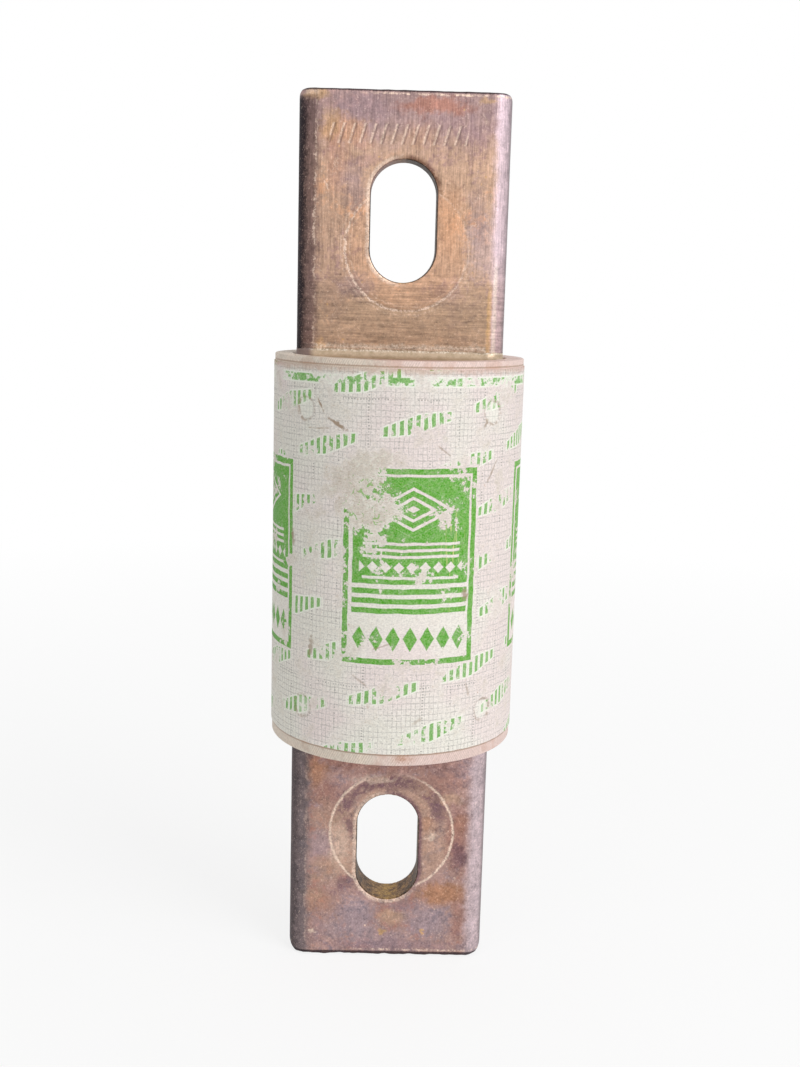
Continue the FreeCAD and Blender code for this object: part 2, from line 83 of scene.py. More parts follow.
def length(name, millimetres, what):
    """A length that a user may change, given in millimetres and kept in metres."""
    return bpy.props.FloatProperty(name=name, description=what, default=millimetres * MM, unit="LENGTH")


class FuseSizes(bpy.types.PropertyGroup):
    """Sizes of the pieces that this script models on the frame"""

    wall: length("Tube wall", 4.4, "Thickness of the melamine tube's wall")
    rim_round: length("Rim rounding", 0.3, "Radius of the tube's outer rims")
    bore_round: length("Bore rounding", 0.4, "Radius of the tube's inner rims")
    pin_radius: length("Pin radius", 3.155, "Radius of the drive pins and of their holes")
    pin_height: length("Pin height", 35.825, "Height of each ring of pins above or below the middle")
    paper: length("Paper", 0.235, "Thickness of the label")
    seam: bpy.props.FloatProperty(
        name="Seam", description="Azimuth where the label starts", default=math.radians(141.5),
        unit="ROTATION",
    )
    lap: length("Lap", 7.0, "How far the label's end lies over its start")
    lap_rise: length("Lap rise", 0.14, "How far the lapped end stands up")
    dimple: length("Dimple", 0.2, "How deep the label sinks over a pin")
    burr: length("Burr", 0.1, "How far the label stands up round a pin")
    braze_height: length("Braze height", 2.0, "How far the braze climbs the blades")
    braze_width: length("Braze width", 2.1, "How far the braze spreads on the blades' wide sides")
    braze_side: length("Braze side width", 0.6, "How far the braze spreads at the blades' round edges")
    voxel: length("Voxel", 0.35, "Fineness of the worn blades' mesh")
    rub: bpy.props.IntProperty(
        name="Rubbing", description="How often worn edges are smoothed", default=3, min=0
    )
    slot_width: length("Slot width", 15.9, "Width of a blade's slot")
    slot_height: length("Slot height", 28.7, "Height of a blade's slot")
    slot_middle: length("Slot middle", 79.375, "Height of a slot's middle above or below the fuse's middle")
    upper_washer: length("Upper washer", 14.85, "Radius of the mark that a washer left on the upper blade")
    upper_washer_height: length("Upper washer height", 73.1, "Height of that mark's middle")
    lower_washer: length("Lower washer", 15.95, "Radius of the mark that a washer left on the lower blade")
    lower_washer_height: length("Lower washer height", -75.2, "Height of that mark's middle")
    washer_side: length("Washer side", 0.97, "How far both marks are right of the middle")
    groove: length("Groove", 0.07, "Depth of the washers' marks")
    ragged: length("Ragged end", 0.45, "How deep the lower blade's end is nicked")


class FuseColours(bpy.types.PropertyGroup):
    """Colours of the fuse's finishes"""

    tan: colour("Tan copper", "#c1a089", "Old copper, handled and lightly oxidised")
    mauve: colour("Mauve copper", "#b7948c", "Copper under a thin pink oxide")
    violet: colour("Violet copper", "#9a838a", "Copper under a thin violet oxide")
    orange: colour("Orange copper", "#cf9f7d", "Fresher copper, kept bright by a washer")
    olive: colour("Olive copper", "#ae937b", "Copper under a thin olive film")
    gold: colour("Gold film", "#c8a272", "Straw-coloured oxide at the roots and corners")
    blush_red: colour("Pink-red oxide", "#b5806f", "Copper under a thin red oxide")
    red: colour("Red copper", "#a0766a", "Copper under red oxide")
    brown: colour("Brown copper", "#ad8f87", "Copper under a thin brown oxide")
    russet: colour("Russet oxide", "#b4866a", "Rusty brown oxide")
    plum: colour("Plum oxide", "#6c4f5d", "Thick dark-red oxide")
    slate: colour("Slate oxide", "#a5949b", "Grey-blue oxide")
    # The brown film is real oxide in patches, and also the brown band of the painted dark reflection on the
    # upper blade's left edge and the painted shadow of the stamped strokes.
    film: colour("Brown film", "#705957", "Thin soot on the way to the upper blade's left edge")
    # The grey film is a real patch, and also the painted dark reflection on the lower blade's left edge and
    # the painted dark outline of the right edges.
    grey_film_and_shade: colour("Grey film", "#746b6e", "Soot on the lower blade's left edge, greyer")
    # Painted dark reflection and shade on the blades' left edges and sawn ends.
    painted_edge_shade: colour("Soot", "#2b2429", "Black oxide on the left edges")
    # Polish under a painted highlight on the right edges.
    polish_and_highlight: colour("Blush", "#c6b3bb", "Polished right edges")
    # The lower blade's polish under a painted highlight, greyer.
    silver_polish_and_highlight: colour("Silver blush", "#c7b6bb", "The lower blade's right edge, greyer")
    # Bare copper, and also the painted highlights of the stamped strokes, the slots' rims and the sawn ends.
    scrape: colour("Scrape", "#e2cab8", "Bare copper in fresh scrapes")
    # Dirt on the slots' walls, and the painted shade at the upper slot's top right.
    slot_dirt_and_shade: colour("Slot dirt", "#46372d", "Dirt on the slots' walls")
    # Rust and painted shade round the upper slot's right rim.
    slot_rust_and_shade: colour("Slot rust", "#5f3925", "Brown oxide round the upper slot")
    slot_olive: colour("Slot olive", "#8a6e54", "Oxide on the slots' walls")
    slot_gold: colour("Slot gold", "#b59560", "Bright grains on the slots' walls")
    # Flux flecks, and painted highlights at the roots and on the upper blade's right edge.
    dust_and_highlight: colour("Flux dust", "#eee3d3", "Dried flux above the braze")
    paper: colour("Paper", "#ede6df", "The label's paper")
    pink_paper: colour("Pink paper", "#ece0dc", "Paper stained a faint pink")
    grey_paper: colour("Grey paper", "#eae7dd", "Paper stained grey by handling")
    worn_paper: colour("Worn paper", "#d3cabc", "Paper rubbed to its fibres")
    ink: colour("Ink", "#4a9a22", "The label's green print")
    pale_ink: colour("Pale ink", "#73b34a", "The green print where it is thin")
    halo: colour("Bare rim", "#f0f4e6", "Clean paper round the print")
    grid: colour("Grid", "#a39f9a", "The fine grey grid on the label")
    straw: colour("Straw scratch", "#cfd08a", "Scratches in the print, yellowed")
    rust: colour("Rust", "#b07a58", "Brown stains")
    bruise: colour("Bruise", "#a08c78", "Paper creased and soiled")
    melamine: colour("Melamine", "#e1d2c2", "The tube's bare rims")
    pink_melamine: colour("Pink melamine", "#e2cac2", "Bare rims under a faint pink stain")
    resin: colour("Resin line", "#a58a76", "Resin between the layers of cloth")
    braze: colour("Braze", "#c5af96", "Brazing alloy at the blades' roots")
    flux: colour("Flux", "#ae9a80", "Flux left in the braze")
    bell: colour("Bell", "#b58a70", "The end bells' turned copper")
    steel: colour("Steel", "#a9a7a2", "Plated steel")
    link: colour("Link", "#cf9478", "The fuse links' rolled strip")
    tin: colour("Tin", "#c9cac9", "The overload beads")
    sand: colour("Sand", "#dccfb4", "The quartz filler")
    floor: colour("Floor", "#f6f6f6", "The studio floor")


def fill(tree, node, sockets):
    """Sets a node's sockets, or links them where the value is another node's output."""
    for key, value in sockets.items():
        if isinstance(value, bpy.types.NodeSocket):
            tree.links.new(value, node.inputs[key])
        else:
            node.inputs[key].default_value = value


def add(tree, kind, *inputs, out=0, stops=(), **settings):
    """Adds a node with its settings. Inputs go to its sockets in their order, and a dict's by name or
    number. Returns one output, or all of them for out=None."""
    made = tree.nodes.new("ShaderNode" + kind)
    made.location = (220 * (len(tree.nodes) % 12), -280 * (len(tree.nodes) // 12))
    for name, value in settings.items():
        setattr(made, name, value)
    for number, value in enumerate(inputs):
        fill(tree, made, value if isinstance(value, dict) else {number: value})
    for place, shade in stops:
        made.color_ramp.elements.new(place).color = shade
    if stops:
        made.color_ramp.elements.remove(made.color_ramp.elements[0])
        made.color_ramp.elements.remove(made.color_ramp.elements[-1])
    return made.outputs if out is None else made.outputs[out]


def total(tree, start, *parts):
    """A start plus weighted parts, each a value and its weight."""
    for value, weight in parts:
        start = add(tree, "Math", value, weight, start, operation="MULTIPLY_ADD")
    return start


def pick(tree, operation, first, *others):
    """The greatest of some values for MAXIMUM, or the least for MINIMUM."""
    for other in others:
        first = add(tree, "Math", first, other, operation=operation)
    return first


def mask(tree, *factors):
    """The product of some factors. A factor is a value, a soft step (value, low, high) that is 0 at low
    and 1 at high, or (value, middle, low, high), the same step taken on the distance from the middle."""
    product = None
    for factor in factors:
        if isinstance(factor, tuple):
            value, *middle, low, high = factor
            if middle:
                value = add(tree, "Math", total(tree, -middle[0], (value, 1)), operation="ABSOLUTE")
            factor = add(tree, "MapRange", value, low, high, interpolation_type="SMOOTHSTEP")
        product = factor if product is None else add(tree, "Math", product, factor, operation="MULTIPLY")
    return product


def lay(tree, shade, *layers):
    """Lays colours over a shade, one after another. A layer is a colour and the factors of its mask."""
    for over, *factors in layers:
        shade = add(tree, "Mix", mask(tree, *factors), {6: shade, 7: over}, out=2, data_type="RGBA")
    return shade


def warp(tree, flat, bend, reach):
    """Moves the points of a flat pattern by a noise's colour, by up to half the reach."""
    centred = add(tree, "VectorMath", bend, (0.5, 0.5, 0.5), operation="SUBTRACT")
    return add(tree, "VectorMath", centred, (reach, reach, 0), flat, operation="MULTIPLY_ADD")


def new_material(name, *noises):
    """Makes a material, and returns it with its tree, a point on the piece in millimetres, and the
    outputs of noises. A noise is a width in millimetres, then its detail, roughness and distortion."""
    material = bpy.data.materials.new(name)
    material.use_nodes = True
    tree = material.node_tree
    place = add(tree, "TexCoord", out="Object")
    point = add(tree, "Mapping", {"Vector": place, "Scale": (1 / MM, 1 / MM, 1 / MM)})
    made = []
    for width, *rest in noises:
        shape = dict(zip(("Detail", "Roughness", "Distortion"), rest))
        made.append(add(tree, "TexNoise", {"Vector": point, "Scale": 1 / width, **shape}, out=None))
    return material, tree, point, *made


def finish(material, relief, strength, depth, **sockets):
    """Fills the shader's sockets, named with _ for a blank, and bends the light by a relief, depth
    millimetres deep."""
    tree = material.node_tree
    bump = add(tree, "Bump", {"Height": relief, "Strength": strength, "Distance": depth * MM})
    named = {name.replace("_", " "): value for name, value in sockets.items()}
    fill(tree, tree.nodes["Principled BSDF"], {"Normal": bump, **named})
    return material


def box_distance(tree, point, middle, half):
    """Distance in millimetres to an upright rectangle in a flat pattern, negative inside."""
    moved = add(tree, "VectorMath", point, (*middle, 0), operation="SUBTRACT")
    folded = add(tree, "VectorMath", moved, operation="ABSOLUTE")
    past = add(tree, "VectorMath", folded, (*half, 0), operation="SUBTRACT")
    across, up, _ = add(tree, "SeparateXYZ", past, out=None)
    return pick(tree, "MAXIMUM", across, up)


def turned_oval(tree, point, middle, half, turn=0):
    """0 in the middle of an oval in a flat pattern, and 1 on its edge; the oval is turned by some degrees."""
    moved = add(tree, "VectorMath", point, (*middle, 0), operation="SUBTRACT")
    if turn:
        turned = {"Vector": moved, "Angle": math.radians(-turn)}
        moved = add(tree, "VectorRotate", turned, rotation_type="Z_AXIS")
    moved = add(tree, "VectorMath", moved, (*half, 1), operation="DIVIDE")
    return add(tree, "VectorMath", moved, operation="LENGTH", out="Value")


def blotch(tree, point, middle, half, ragged=0.5):
    """A soft oval patch in a flat pattern: 1 in its middle, 0 a little past its edge, which a noise makes
    ragged."""
    return mask(tree, (total(tree, ragged, (turned_oval(tree, point, middle, half), 1)), 1.9, 0.9))


def core_distance(tree, point, core):
    """Distance to a box round the middle with half sizes core, and 0 in it."""
    folded = add(tree, "VectorMath", point, operation="ABSOLUTE")
    past = add(tree, "VectorMath", folded, core, operation="SUBTRACT")
    kept = add(tree, "VectorMath", past, (0, 0, 0), operation="MAXIMUM")
    return add(tree, "VectorMath", kept, operation="LENGTH", out="Value")


def grid_distance(tree, flat, width, height):
    """How far across and how far up the nearest crossing of a grid is, in a flat pattern with such cells."""
    half = Vector((width / 2, height / 2, 1))
    wrapped = add(tree, "VectorMath", flat, half, -half, operation="WRAP")
    across, up, _ = add(tree, "SeparateXYZ", add(tree, "VectorMath", wrapped, operation="ABSOLUTE"), out=None)
    return across, up


def around(azimuth, radius, height):
    """A point at an azimuth, a radius and a height."""
    return Vector((radius * math.sin(azimuth), -radius * math.cos(azimuth), height))


def smooth_step(value, low, high):
    """The same soft step as in mask(), for vertices."""
    share = min(1.0, max(0.0, (value - low) / (high - low)))
    return share * share * (3 - 2 * share)


def new_piece(name, bm, material, slot, *nodes):
    """Makes a piece from a bmesh, in place of CAD nodes, riding on the fuse's one body."""
    mesh = bpy.data.meshes.new(name)
    bm.to_mesh(mesh)
    bm.free()
    mesh.materials.append(material)
    mesh.shade_smooth()
    piece = bpy.data.objects.new(name, mesh)
    bpy.context.scene.collection.objects.link(piece)
    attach(piece, "root")
    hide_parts(*nodes)
    return piece


def settle(piece):
    """Keeps the mesh that a piece's modifiers make, and takes the modifiers away."""
    bpy.context.view_layer.update()
    made = bpy.data.meshes.new_from_object(piece.evaluated_get(bpy.context.evaluated_depsgraph_get()))
    piece.modifiers.clear()
    piece.data = made
    made.shade_smooth()


def dress(material, *nodes):
    """Gives CAD nodes a finish through their material slots."""
    for name in nodes:
        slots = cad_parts[name].data.materials
        for index in range(len(slots)):
            slots[index] = material


def worn_piece(name, node, material, slot, sizes, press):
    """Copies a CAD node, remeshes it finely, rubs its edges down and presses each vertex in by
    press(place, normal)."""
    bm = bmesh.new()
    bm.from_mesh(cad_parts[node].data)
    bmesh.ops.remove_doubles(bm, verts=bm.verts, dist=WELD)
    piece = new_piece(name, bm, material, slot, node)
    remesh = piece.modifiers.new("Voxels", "REMESH")
    remesh.mode = "VOXEL"
    remesh.voxel_size = sizes.voxel
    rubbed = piece.modifiers.new("Rubbed", "SMOOTH")
    rubbed.iterations = sizes.rub
    settle(piece)
    low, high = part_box(node)
    mesh = piece.data
    moves = [press(v.co, v.normal) for v in mesh.vertices]
    for vertex, move in zip(mesh.vertices, moves):
        moved = vertex.co + move
        vertex.co = [min(max(moved[i], low[i]), high[i]) for i in range(3)]
    mesh.update()
    return piece


def blade_press(sizes, side, washer_radius, washer_height, ragged):
    """How a blade is worn: shallow dents, a washer's ring and a nicked end."""
    dent, dent_width, ring_width, nick_width, worn_height = 0.05 * MM, 9 * MM, 0.45 * MM, 1.7 * MM, 1.1 * MM
    centre = Vector((sizes.washer_side, 0, washer_height))
    end = max(abs(corner.z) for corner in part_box("upper_blade" if side > 0 else "lower_blade"))

    def press(place, normal):
        depth = dent * (noise.noise(place / dent_width) * 0.5 + 0.5)
        if abs(normal.y) > 0.8:
            far = (Vector((place.x, 0, place.z)) - centre).length - washer_radius
            depth += sizes.groove * math.exp(-((far / ring_width) ** 2))
        nick = noise.noise(place / nick_width + Vector((7, 3, 5)))
        near_end = smooth_step(abs(place.z), end - worn_height, end)
        lift = near_end * ragged * (0.45 + 0.55 * nick) if nick > -0.6 else 0
        return normal * -depth + Vector((0, 0, -side * max(0, lift)))

    return press


# Oxide patches on the blades' fronts, with a painted highlight by the upper blade's right edge and a painted
# dark reflection by the lower blade's left edge: colour, middle and half size in millimetres, and strength.
UPPER_PATCHES = (
    ("film", (-17, 76), (6.5, 27), 0.15),
    ("film", (-2, 107), (20, 3.6), 0.15),
    ("violet", (-10, 104.5), (8, 4.5), 0.5),
    ("violet", (14, 98.5), (6, 3.5), 0.15),
    ("mauve", (-9.5, 93.4), (4, 1.4), 0.6),
    ("blush_red", (7, 105.9), (9, 2.1), 0.75),
    ("blush_red", (-16, 93), (2.5, 8), 0.3),
    ("orange", (-14.5, 99.8), (6, 3.2), 0.6),
    ("gold", (-18, 101.5), (2.2, 3.6), 0.4),
    ("orange", (-10, 97), (3.4, 1.4), 0.3),
    ("orange", (3.5, 99.5), (4, 3), 0.25),
    ("violet", (-12.4, 90.6), (3.4, 3.0), 0.3),
    ("violet", (-11.5, 86), (3.2, 5), 0.4),
    ("orange", (11, 80), (3.2, 8), 0.6),
    ("film", (-11, 64.3), (4.4, 3.0), 0.25),
    ("violet", (-11, 64.3), (4.4, 3.0), 0.3),
    # A painted highlight over polish by the right edge.
    ("polish_and_highlight", (19.5, 74), (4, 8), 0.35),
    ("violet", (17.5, 81), (2.6, 9), 0.3),
    ("film", (-16, 61), (3.5, 6), 0.2),
    ("gold", (-20, 48.6), (3.2, 1.5), 0.75),
    ("gold", (-21.4, 108.0), (3.2, 1.2), 0.6),
    ("scrape", (-22.4, 108.8), (1.8, 0.8), 0.4),
    ("gold", (19.5, 107.8), (2.2, 0.8), 0.45),
)

LOWER_PATCHES = (
    # A painted dark reflection by the left edge, below the barrel.
    ("painted_edge_shade", (-22.5, -52.5), (3.4, 5.0), 0.9),
    ("red", (0, -54), (20, 5), 0.8),
    ("red", (-13, -54.5), (6, 3.5), 0.5),
    ("russet", (-18.5, -59.5), (2.6, 3.6), 0.75),
    ("red", (-16, -65.5), (3.6, 4), 0.7),
    ("tan", (-16.5, -71.5), (4, 5), 0.35),
    ("slate", (-17.5, -78), (3.2, 4.5), 0.5),
    ("scrape", (-12.4, -80), (2.6, 7), 0.4),
    ("red", (14.5, -60.5), (6, 4), 0.5),
    ("tan", (15.6, -66), (3.2, 1.4), 0.7),
    ("plum", (12.6, -68.5), (1.8, 4.5), 0.55),
    ("plum", (0, -62.2), (7, 1.8), 0.4),
    ("scrape", (-3.4, -60.9), (6.0, 0.9), 0.45),
    ("plum", (-10.5, -66), (2.4, 3.0), 0.25),
    ("russet", (19, -72.5), (2.2, 3), 0.8),
    ("red", (18.4, -76), (3.4, 9), 0.75),
    ("plum", (18.6, -81.5), (2.0, 4), 0.6),
    ("russet", (10.4, -72.5), (1.9, 1.9), 0.5),
    ("scrape", (11, -76), (1.0, 0.9), 0.8),
    ("plum", (-9.7, -74), (1.3, 2.6), 0.6),
    ("tan", (-15, -86), (5, 4), 0.5),
    ("plum", (-11, -89), (2.4, 1.7), 0.5),
    ("russet", (-18, -94.5), (4.4, 3), 0.35),
    ("tan", (-19.5, -92.5), (3, 2), 0.4),
    ("russet", (14.5, -92), (7, 2.8), 0.95),
    ("tan", (1.2, -98.5), (3.6, 2.0), 0.75),
    ("slate", (-7.7, -99), (5.4, 6), 0.75),
    ("slate", (-13.5, -102.5), (3.5, 3), 0.5),
    ("violet", (-18, -102.5), (2, 4), 0.35),
    ("violet", (5, -95.6), (5, 1.8), 0.45),
    ("grey_film_and_shade", (14, -101), (3, 6), 0.2),
    ("slate", (11, -100), (6, 5), 0.7),
    ("slate", (-2, -104.5), (9, 3), 0.5),
    ("violet", (0, -107), (18, 2), 0.6),
    ("red", (19, -99), (2.0, 6), 0.6),
    ("scrape", (-19.7, -103.3), (0.6, 0.6), 0.9),
    ("gold", (-0.9, -102.7), (0.9, 0.9), 0.8),
    ("gold", (10.4, -102.7), (0.6, 0.6), 0.8),
)

# Where the print is rubbed off most: middle and half size in millimetres, and strength.
RUBBED = (
    ((-9.5, 19.0), (7.5, 5.5), 0.24),
    ((-5.0, 14.5), (6.5, 6.0), 0.24),
    ((-12.5, 12.5), (4.0, 4.5), 0.2),
    ((-3.5, 25.0), (7.0, 3.2), 0.18),
    ((-7.0, 5.0), (7.0, 2.4), 0.07),
    ((2.0, -1.0), (7.0, 2.4), 0.06),
    ((-12.5, -3.0), (2.6, 5.0), 0.09),
    ((13.5, 17.0), (1.6, 6.0), 0.05),
    ((-15.0, -21.0), (6.0, 3.0), 0.07),
    ((-24.0, 0.0), (5.0, 9.0), 0.06),
)

# Creases and scratches in the label: middle, half size in millimetres, turn in degrees and strength.
CREASES = (
    ((-14.7, 32.8), (3.0, 0.5), -27, 0.95),
    ((-19.5, 36.9), (2.0, 0.3), -60, 0.9),
    ((-19.4, 31.6), (3.4, 0.2), 4, 0.6),
    ((-28.6, 5.2), (0.7, 1.9), 12, 0.8),
    ((17.2, -6.6), (0.9, 2.0), 8, 0.8),
    ((-21.4, -20.5), (0.8, 2.4), -10, 0.7),
    ((24.5, 22.0), (0.35, 3.0), -32, 0.65),
    ((22.0, 33.5), (0.5, 1.6), -30, 0.7),
    ((-3.0, -18.4), (2.2, 0.2), 18, 0.5),
    ((10.5, 27.5), (2.2, 0.25), -38, 0.6),
    ((6.0, -36.5), (1.4, 0.4), 40, 0.4),
    ((-8.0, -27.0), (1.8, 0.3), -35, 0.45),
    ((19.0, -30.0), (0.4, 2.2), 15, 0.45),
)


def copper_material(name, sizes, colours, side):
    """Hard-drawn copper bar, sawn, brushed along its length and tarnished in service: a soft metal sheen
    under mottled oxide, with scraped rings where washers sat, a painted dark reflection on the left edge,
    and polish under a painted highlight on the right edge."""
    # Oxide grows in clouds about 14 mm wide, with spots of 5 mm, mottling of 1.5 mm and grains of 0.45 mm.
    material, tree, point, (clouds, _), (spots, drift), (mottle, _), (grain, _) = new_material(
        name, (14, 5, 0.65, 0.2), (5, 6, 0.7), (1.5, 4, 0.7), (0.45, 3, 0.75)
    )
    upper = side > 0
    across, depth, height = add(tree, "SeparateXYZ", point, out=None)
    # Brush lines are 0.35 mm wide and about 6 mm long, up and down the blade.
    stretched = add(tree, "Mapping", {"Vector": point, "Scale": (1 / 0.35, 1 / 0.35, 1 / 6)})
    brushed = {"Vector": stretched, "Scale": 1, "Detail": 3, "Roughness": 0.65, "Distortion": 0.3}
    brushed = add(tree, "TexNoise", brushed)
    mixed = total(tree, -0.3, (clouds, 1), (mottle, 0.6))
    if upper:
        # Below 68 mm the bar was ground level, in lines 0.5 mm high and about 7 mm long.
        level = add(tree, "Mapping", {"Vector": point, "Scale": (1 / 7, 1 / 7, 1 / 0.5)})
        level = add(tree, "TexNoise", {"Vector": level, "Scale": 1, "Detail": 3, "Roughness": 0.65})
        brushed = add(tree, "Mix", mask(tree, (height, 70, 64)), {2: brushed, 3: level})
        tones = [(0.33, colours.mauve), (0.46, colours.tan), (0.58, colours.tan), (0.78, colours.orange)]
        crown = total(tree, height, (spots, 14), (mottle, 10))
        layers = ((colours.olive, (height, 68, 58), 0.8), (colours.violet, (crown, 104.5, 117.5), 0.7))
        middle, radius = sizes.upper_washer_height / MM, sizes.upper_washer / MM
    else:
        tones = [(0.3, colours.slate), (0.44, colours.mauve), (0.52, colours.brown), (0.7, colours.red)]
        layers = ((colours.plum, (spots, 0.56, 0.66), 0.45), (colours.slate, (spots, 0.46, 0.38), 0.5))
        middle, radius = sizes.lower_washer_height / MM, sizes.lower_washer / MM
    shade = lay(tree, add(tree, "ValToRGB", mixed, stops=tones), *layers)
    # A washer kept the copper under it brighter.
    centre = (-sizes.washer_side / MM, 0, -middle)
    centred = add(tree, "Mapping", {"Vector": point, "Location": centre, "Scale": (1, 0, 1)})
    far = add(tree, "VectorMath", centred, operation="LENGTH", out="Value")
    inside = (far, radius, radius - 0.8)
    if upper:
        shade = lay(tree, shade, (colours.orange, inside, 0.3))
    else:
        # Dark dirt has gathered close inside the washer's upper rim, in spots of 1 to 3 mm.
        dirty = total(tree, spots, (mottle, 0.7))
        dirt = (far, radius - 2.0, 2.3, 0.9), (height, middle, middle + 6), (dirty, 0.76, 0.96), 0.75
        shade = lay(tree, shade, (colours.tan, inside, 0.5), (colours.plum, *dirt))
    # The patches wander by up to 3 mm, and lie on the front only.
    flat = add(tree, "CombineXYZ", across, height)
    warped = warp(tree, flat, drift, 7)
    ragged = total(tree, -0.3, (mottle, 1.6))
    front = mask(tree, (depth, 1.0, -1.0))
    for over, place, half, strength in UPPER_PATCHES if upper else LOWER_PATCHES:
        patch = blotch(tree, warped, place, half, ragged)
        shade = lay(tree, shade, (getattr(colours, over), patch, front, strength))
    ring = washer_ring(tree, centred, far, radius, mottle, grain, upper)
    # Scratches 0.25 mm wide and up to 14 mm long run up the blade near its edges.
    drawn = add(tree, "Mapping", {"Vector": warped, "Scale": (1 / 0.5, 1 / 14, 1)})
    scratch = add(tree, "TexNoise", {"Vector": drawn, "Scale": 1, "Detail": 4, "Roughness": 0.7})
    # Straw-coloured dots, 0.4 mm across, stand about 4 mm apart.
    dots = add(tree, "TexVoronoi", {"Vector": point, "Scale": 1 / 3.7}, out="Distance")
    shade = lay(
        tree, shade,
        (colours.scrape, ring),
        (colours.scrape, (scratch, 0.6, 0.68), (across, 0, 12, 18), 0.55 if upper else 0.4),
        (colours.gold if upper else colours.scrape, (dots, 0.1, 0.05), (mottle, 0.45, 0.6), 0.7),
    )
    if upper:
        # The braze wetted the bar's root, and above it lies a light speckled line, flecks of its flux with a
        # painted highlight.
        root = total(tree, height, (mottle, 2.5))
        wetted = mask(tree, (root, 50.6, 49.8))
        flecks = add(tree, "MapRange", grain, 0.42, 0.62, 0.2, 0.75)
        shade = lay(
            tree, shade,
            # Each stamped stroke gets a painted shadow in brown film and a painted highlight in scrape
            # colour.
            (colours.film, plain_strokes(tree, flat, front, grain, 0.45)),
            (colours.scrape, plain_strokes(tree, flat, front, grain, 0.0)),
            (colours.braze, wetted),
            (colours.dust_and_highlight, (root, 50.5, 1.5, 0.2), flecks),
        )
    shade, wall = slot_marks(tree, shade, point, mottle, grain, sizes, colours, side)
    shade, film = edge_marks(tree, shade, point, spots, mottle, grain, colours, upper)
    shade = end_marks(tree, shade, point, mottle, grain, colours, side)
    # Grain, brush lines, mottling and spots darken the copper to 0.52 or lighten it to 1.48 times its shade.
    weights = (0.6, 1.2, 0.9, 0.7) if upper else (1.0, 0.25, 1.3, 0.7)
    rubbed = total(tree, 0.0, *zip((grain, brushed, mottle, spots), weights))
    even = 1.7 if upper else 1.625
    rubbed = add(tree, "MapRange", rubbed, even - 0.45, even + 0.45, 0.52, 1.48)
    shade = add(tree, "Mix", 1.0, {6: shade, 7: rubbed}, out=2, data_type="RGBA", blend_type="MULTIPLY")
    # Oxide, braze, the painted dark reflection on the left edge and the slot's walls are less of a metal than
    # bare copper.
    oxide = add(tree, "MapRange", spots, 0.35, 0.65, 0.95, 0.65)
    if upper:
        oxide = add(tree, "Math", wetted, -0.6, oxide, operation="MULTIPLY_ADD", use_clamp=True)
    dull = add(tree, "MapRange", film, 0.0, 0.85, 1.0, 0.0)
    walled = add(tree, "MapRange", wall, 0.0, 1.0, 1.0, 0.3 if upper else 0.7)
    return finish(
        material, total(tree, grain, (brushed, 0.6), (ring, -0.6)), 0.5, 0.06,
        Base_Color=shade, Metallic=mask(tree, oxide, dull, walled), Specular_IOR_Level=0.05,
        Roughness=add(tree, "MapRange", mottle, 0.3, 0.7, 0.4, 0.62),
    )


def washer_ring(tree, centred, far, radius, mottle, grain, upper):
    """The thin ring that a washer's rim scraped: how bare the copper is in it."""
    uneven = total(tree, far, (mottle, 1.8 if upper else 1.0))
    ring = mask(tree, (uneven, radius + 0.9, 0.42, 0.1) if upper else (uneven, radius + 0.5, 0.5, 0.1))
    if upper:
        # Here the washer turned, and left a fainter line 1.1 mm to either side.
        for aside in (2.0, -0.2):
            ring = total(tree, ring, (mask(tree, (uneven, radius + aside, 0.3, 0.05)), 0.3))
    # The upper ring was scraped most at its lower left, and the lower one everywhere but near its top.
    toward = (-0.8, 0, -0.6) if upper else (0, 0, -1)
    lean = add(tree, "VectorMath", centred, toward, operation="DOT_PRODUCT", out="Value")
    if upper:
        return mask(tree, ring, (grain, 0.38, 0.56), add(tree, "MapRange", lean, -radius, radius, 0.25, 1.0))
    return mask(tree, ring, (grain, 0.28, 0.5), (lean, -radius - 1, -radius * 0.7))


def slot_marks(tree, shade, point, mottle, grain, sizes, colours, side):
    """Lays a slot's bare rim and its painted highlight, its rust and painted shade, and its oxide over a
    shade.
    Returns it with 1 on the slot's wall.
    """
    upper = side > 0
    across, _, height = add(tree, "SeparateXYZ", point, out=None)
    # A light line, bare copper with a painted highlight, shows on the slot's left rim, and on the lower blade
    # round its bottom too. Rust and painted shade darken its right rim, and oxide lies in grains on its wall,
    # brightest at the bottom of the slot and darker up its sides.
    rim = slot_distance(tree, point, side * sizes.slot_middle, sizes)
    sided = across if upper else total(tree, across, (mask(tree, (height, -88, -92)), -8))
    left = mask(tree, (sided, 2, -5))
    right = mask(tree, (across, -4, 3), (height, 82, 90) if upper else (height, -93, -88))
    worn = add(tree, "MapRange", grain, 0.35, 0.6, 0.25, 0.85)
    rim_rust_and_shade = total(tree, rim, (mottle, 1.2))
    wall = mask(tree, (rim, 0.3, 0.12))
    sideways = add(tree, "Math", across, operation="ABSOLUTE")
    # The upper slot's wall is painted darker at its top right, a painted shade.
    grains = total(tree, mottle, (grain, 0.4), (sideways, -0.045), (right, -0.25 if upper else 0.0))
    dark = 0.1 if upper else 0.0
    stops = [(0.32 + dark, colours.slot_dirt_and_shade), (0.54 + dark, colours.slot_olive), (0.8, colours.slot_gold)]
    shade = lay(
        tree, shade,
        (colours.scrape, (rim, 1.4, 0.7), left, worn),
        (colours.slot_rust_and_shade if upper else colours.plum, (rim_rust_and_shade, 2.3, 1.0), right, 0.75),
        (add(tree, "ValToRGB", grains, stops=stops), wall),
    )
    if upper:
        # The upper slot's left top is nearly clean.
        shade = lay(tree, shade, (colours.mauve, left, (height, 84, 90), wall, 0.7))
    return shade, wall


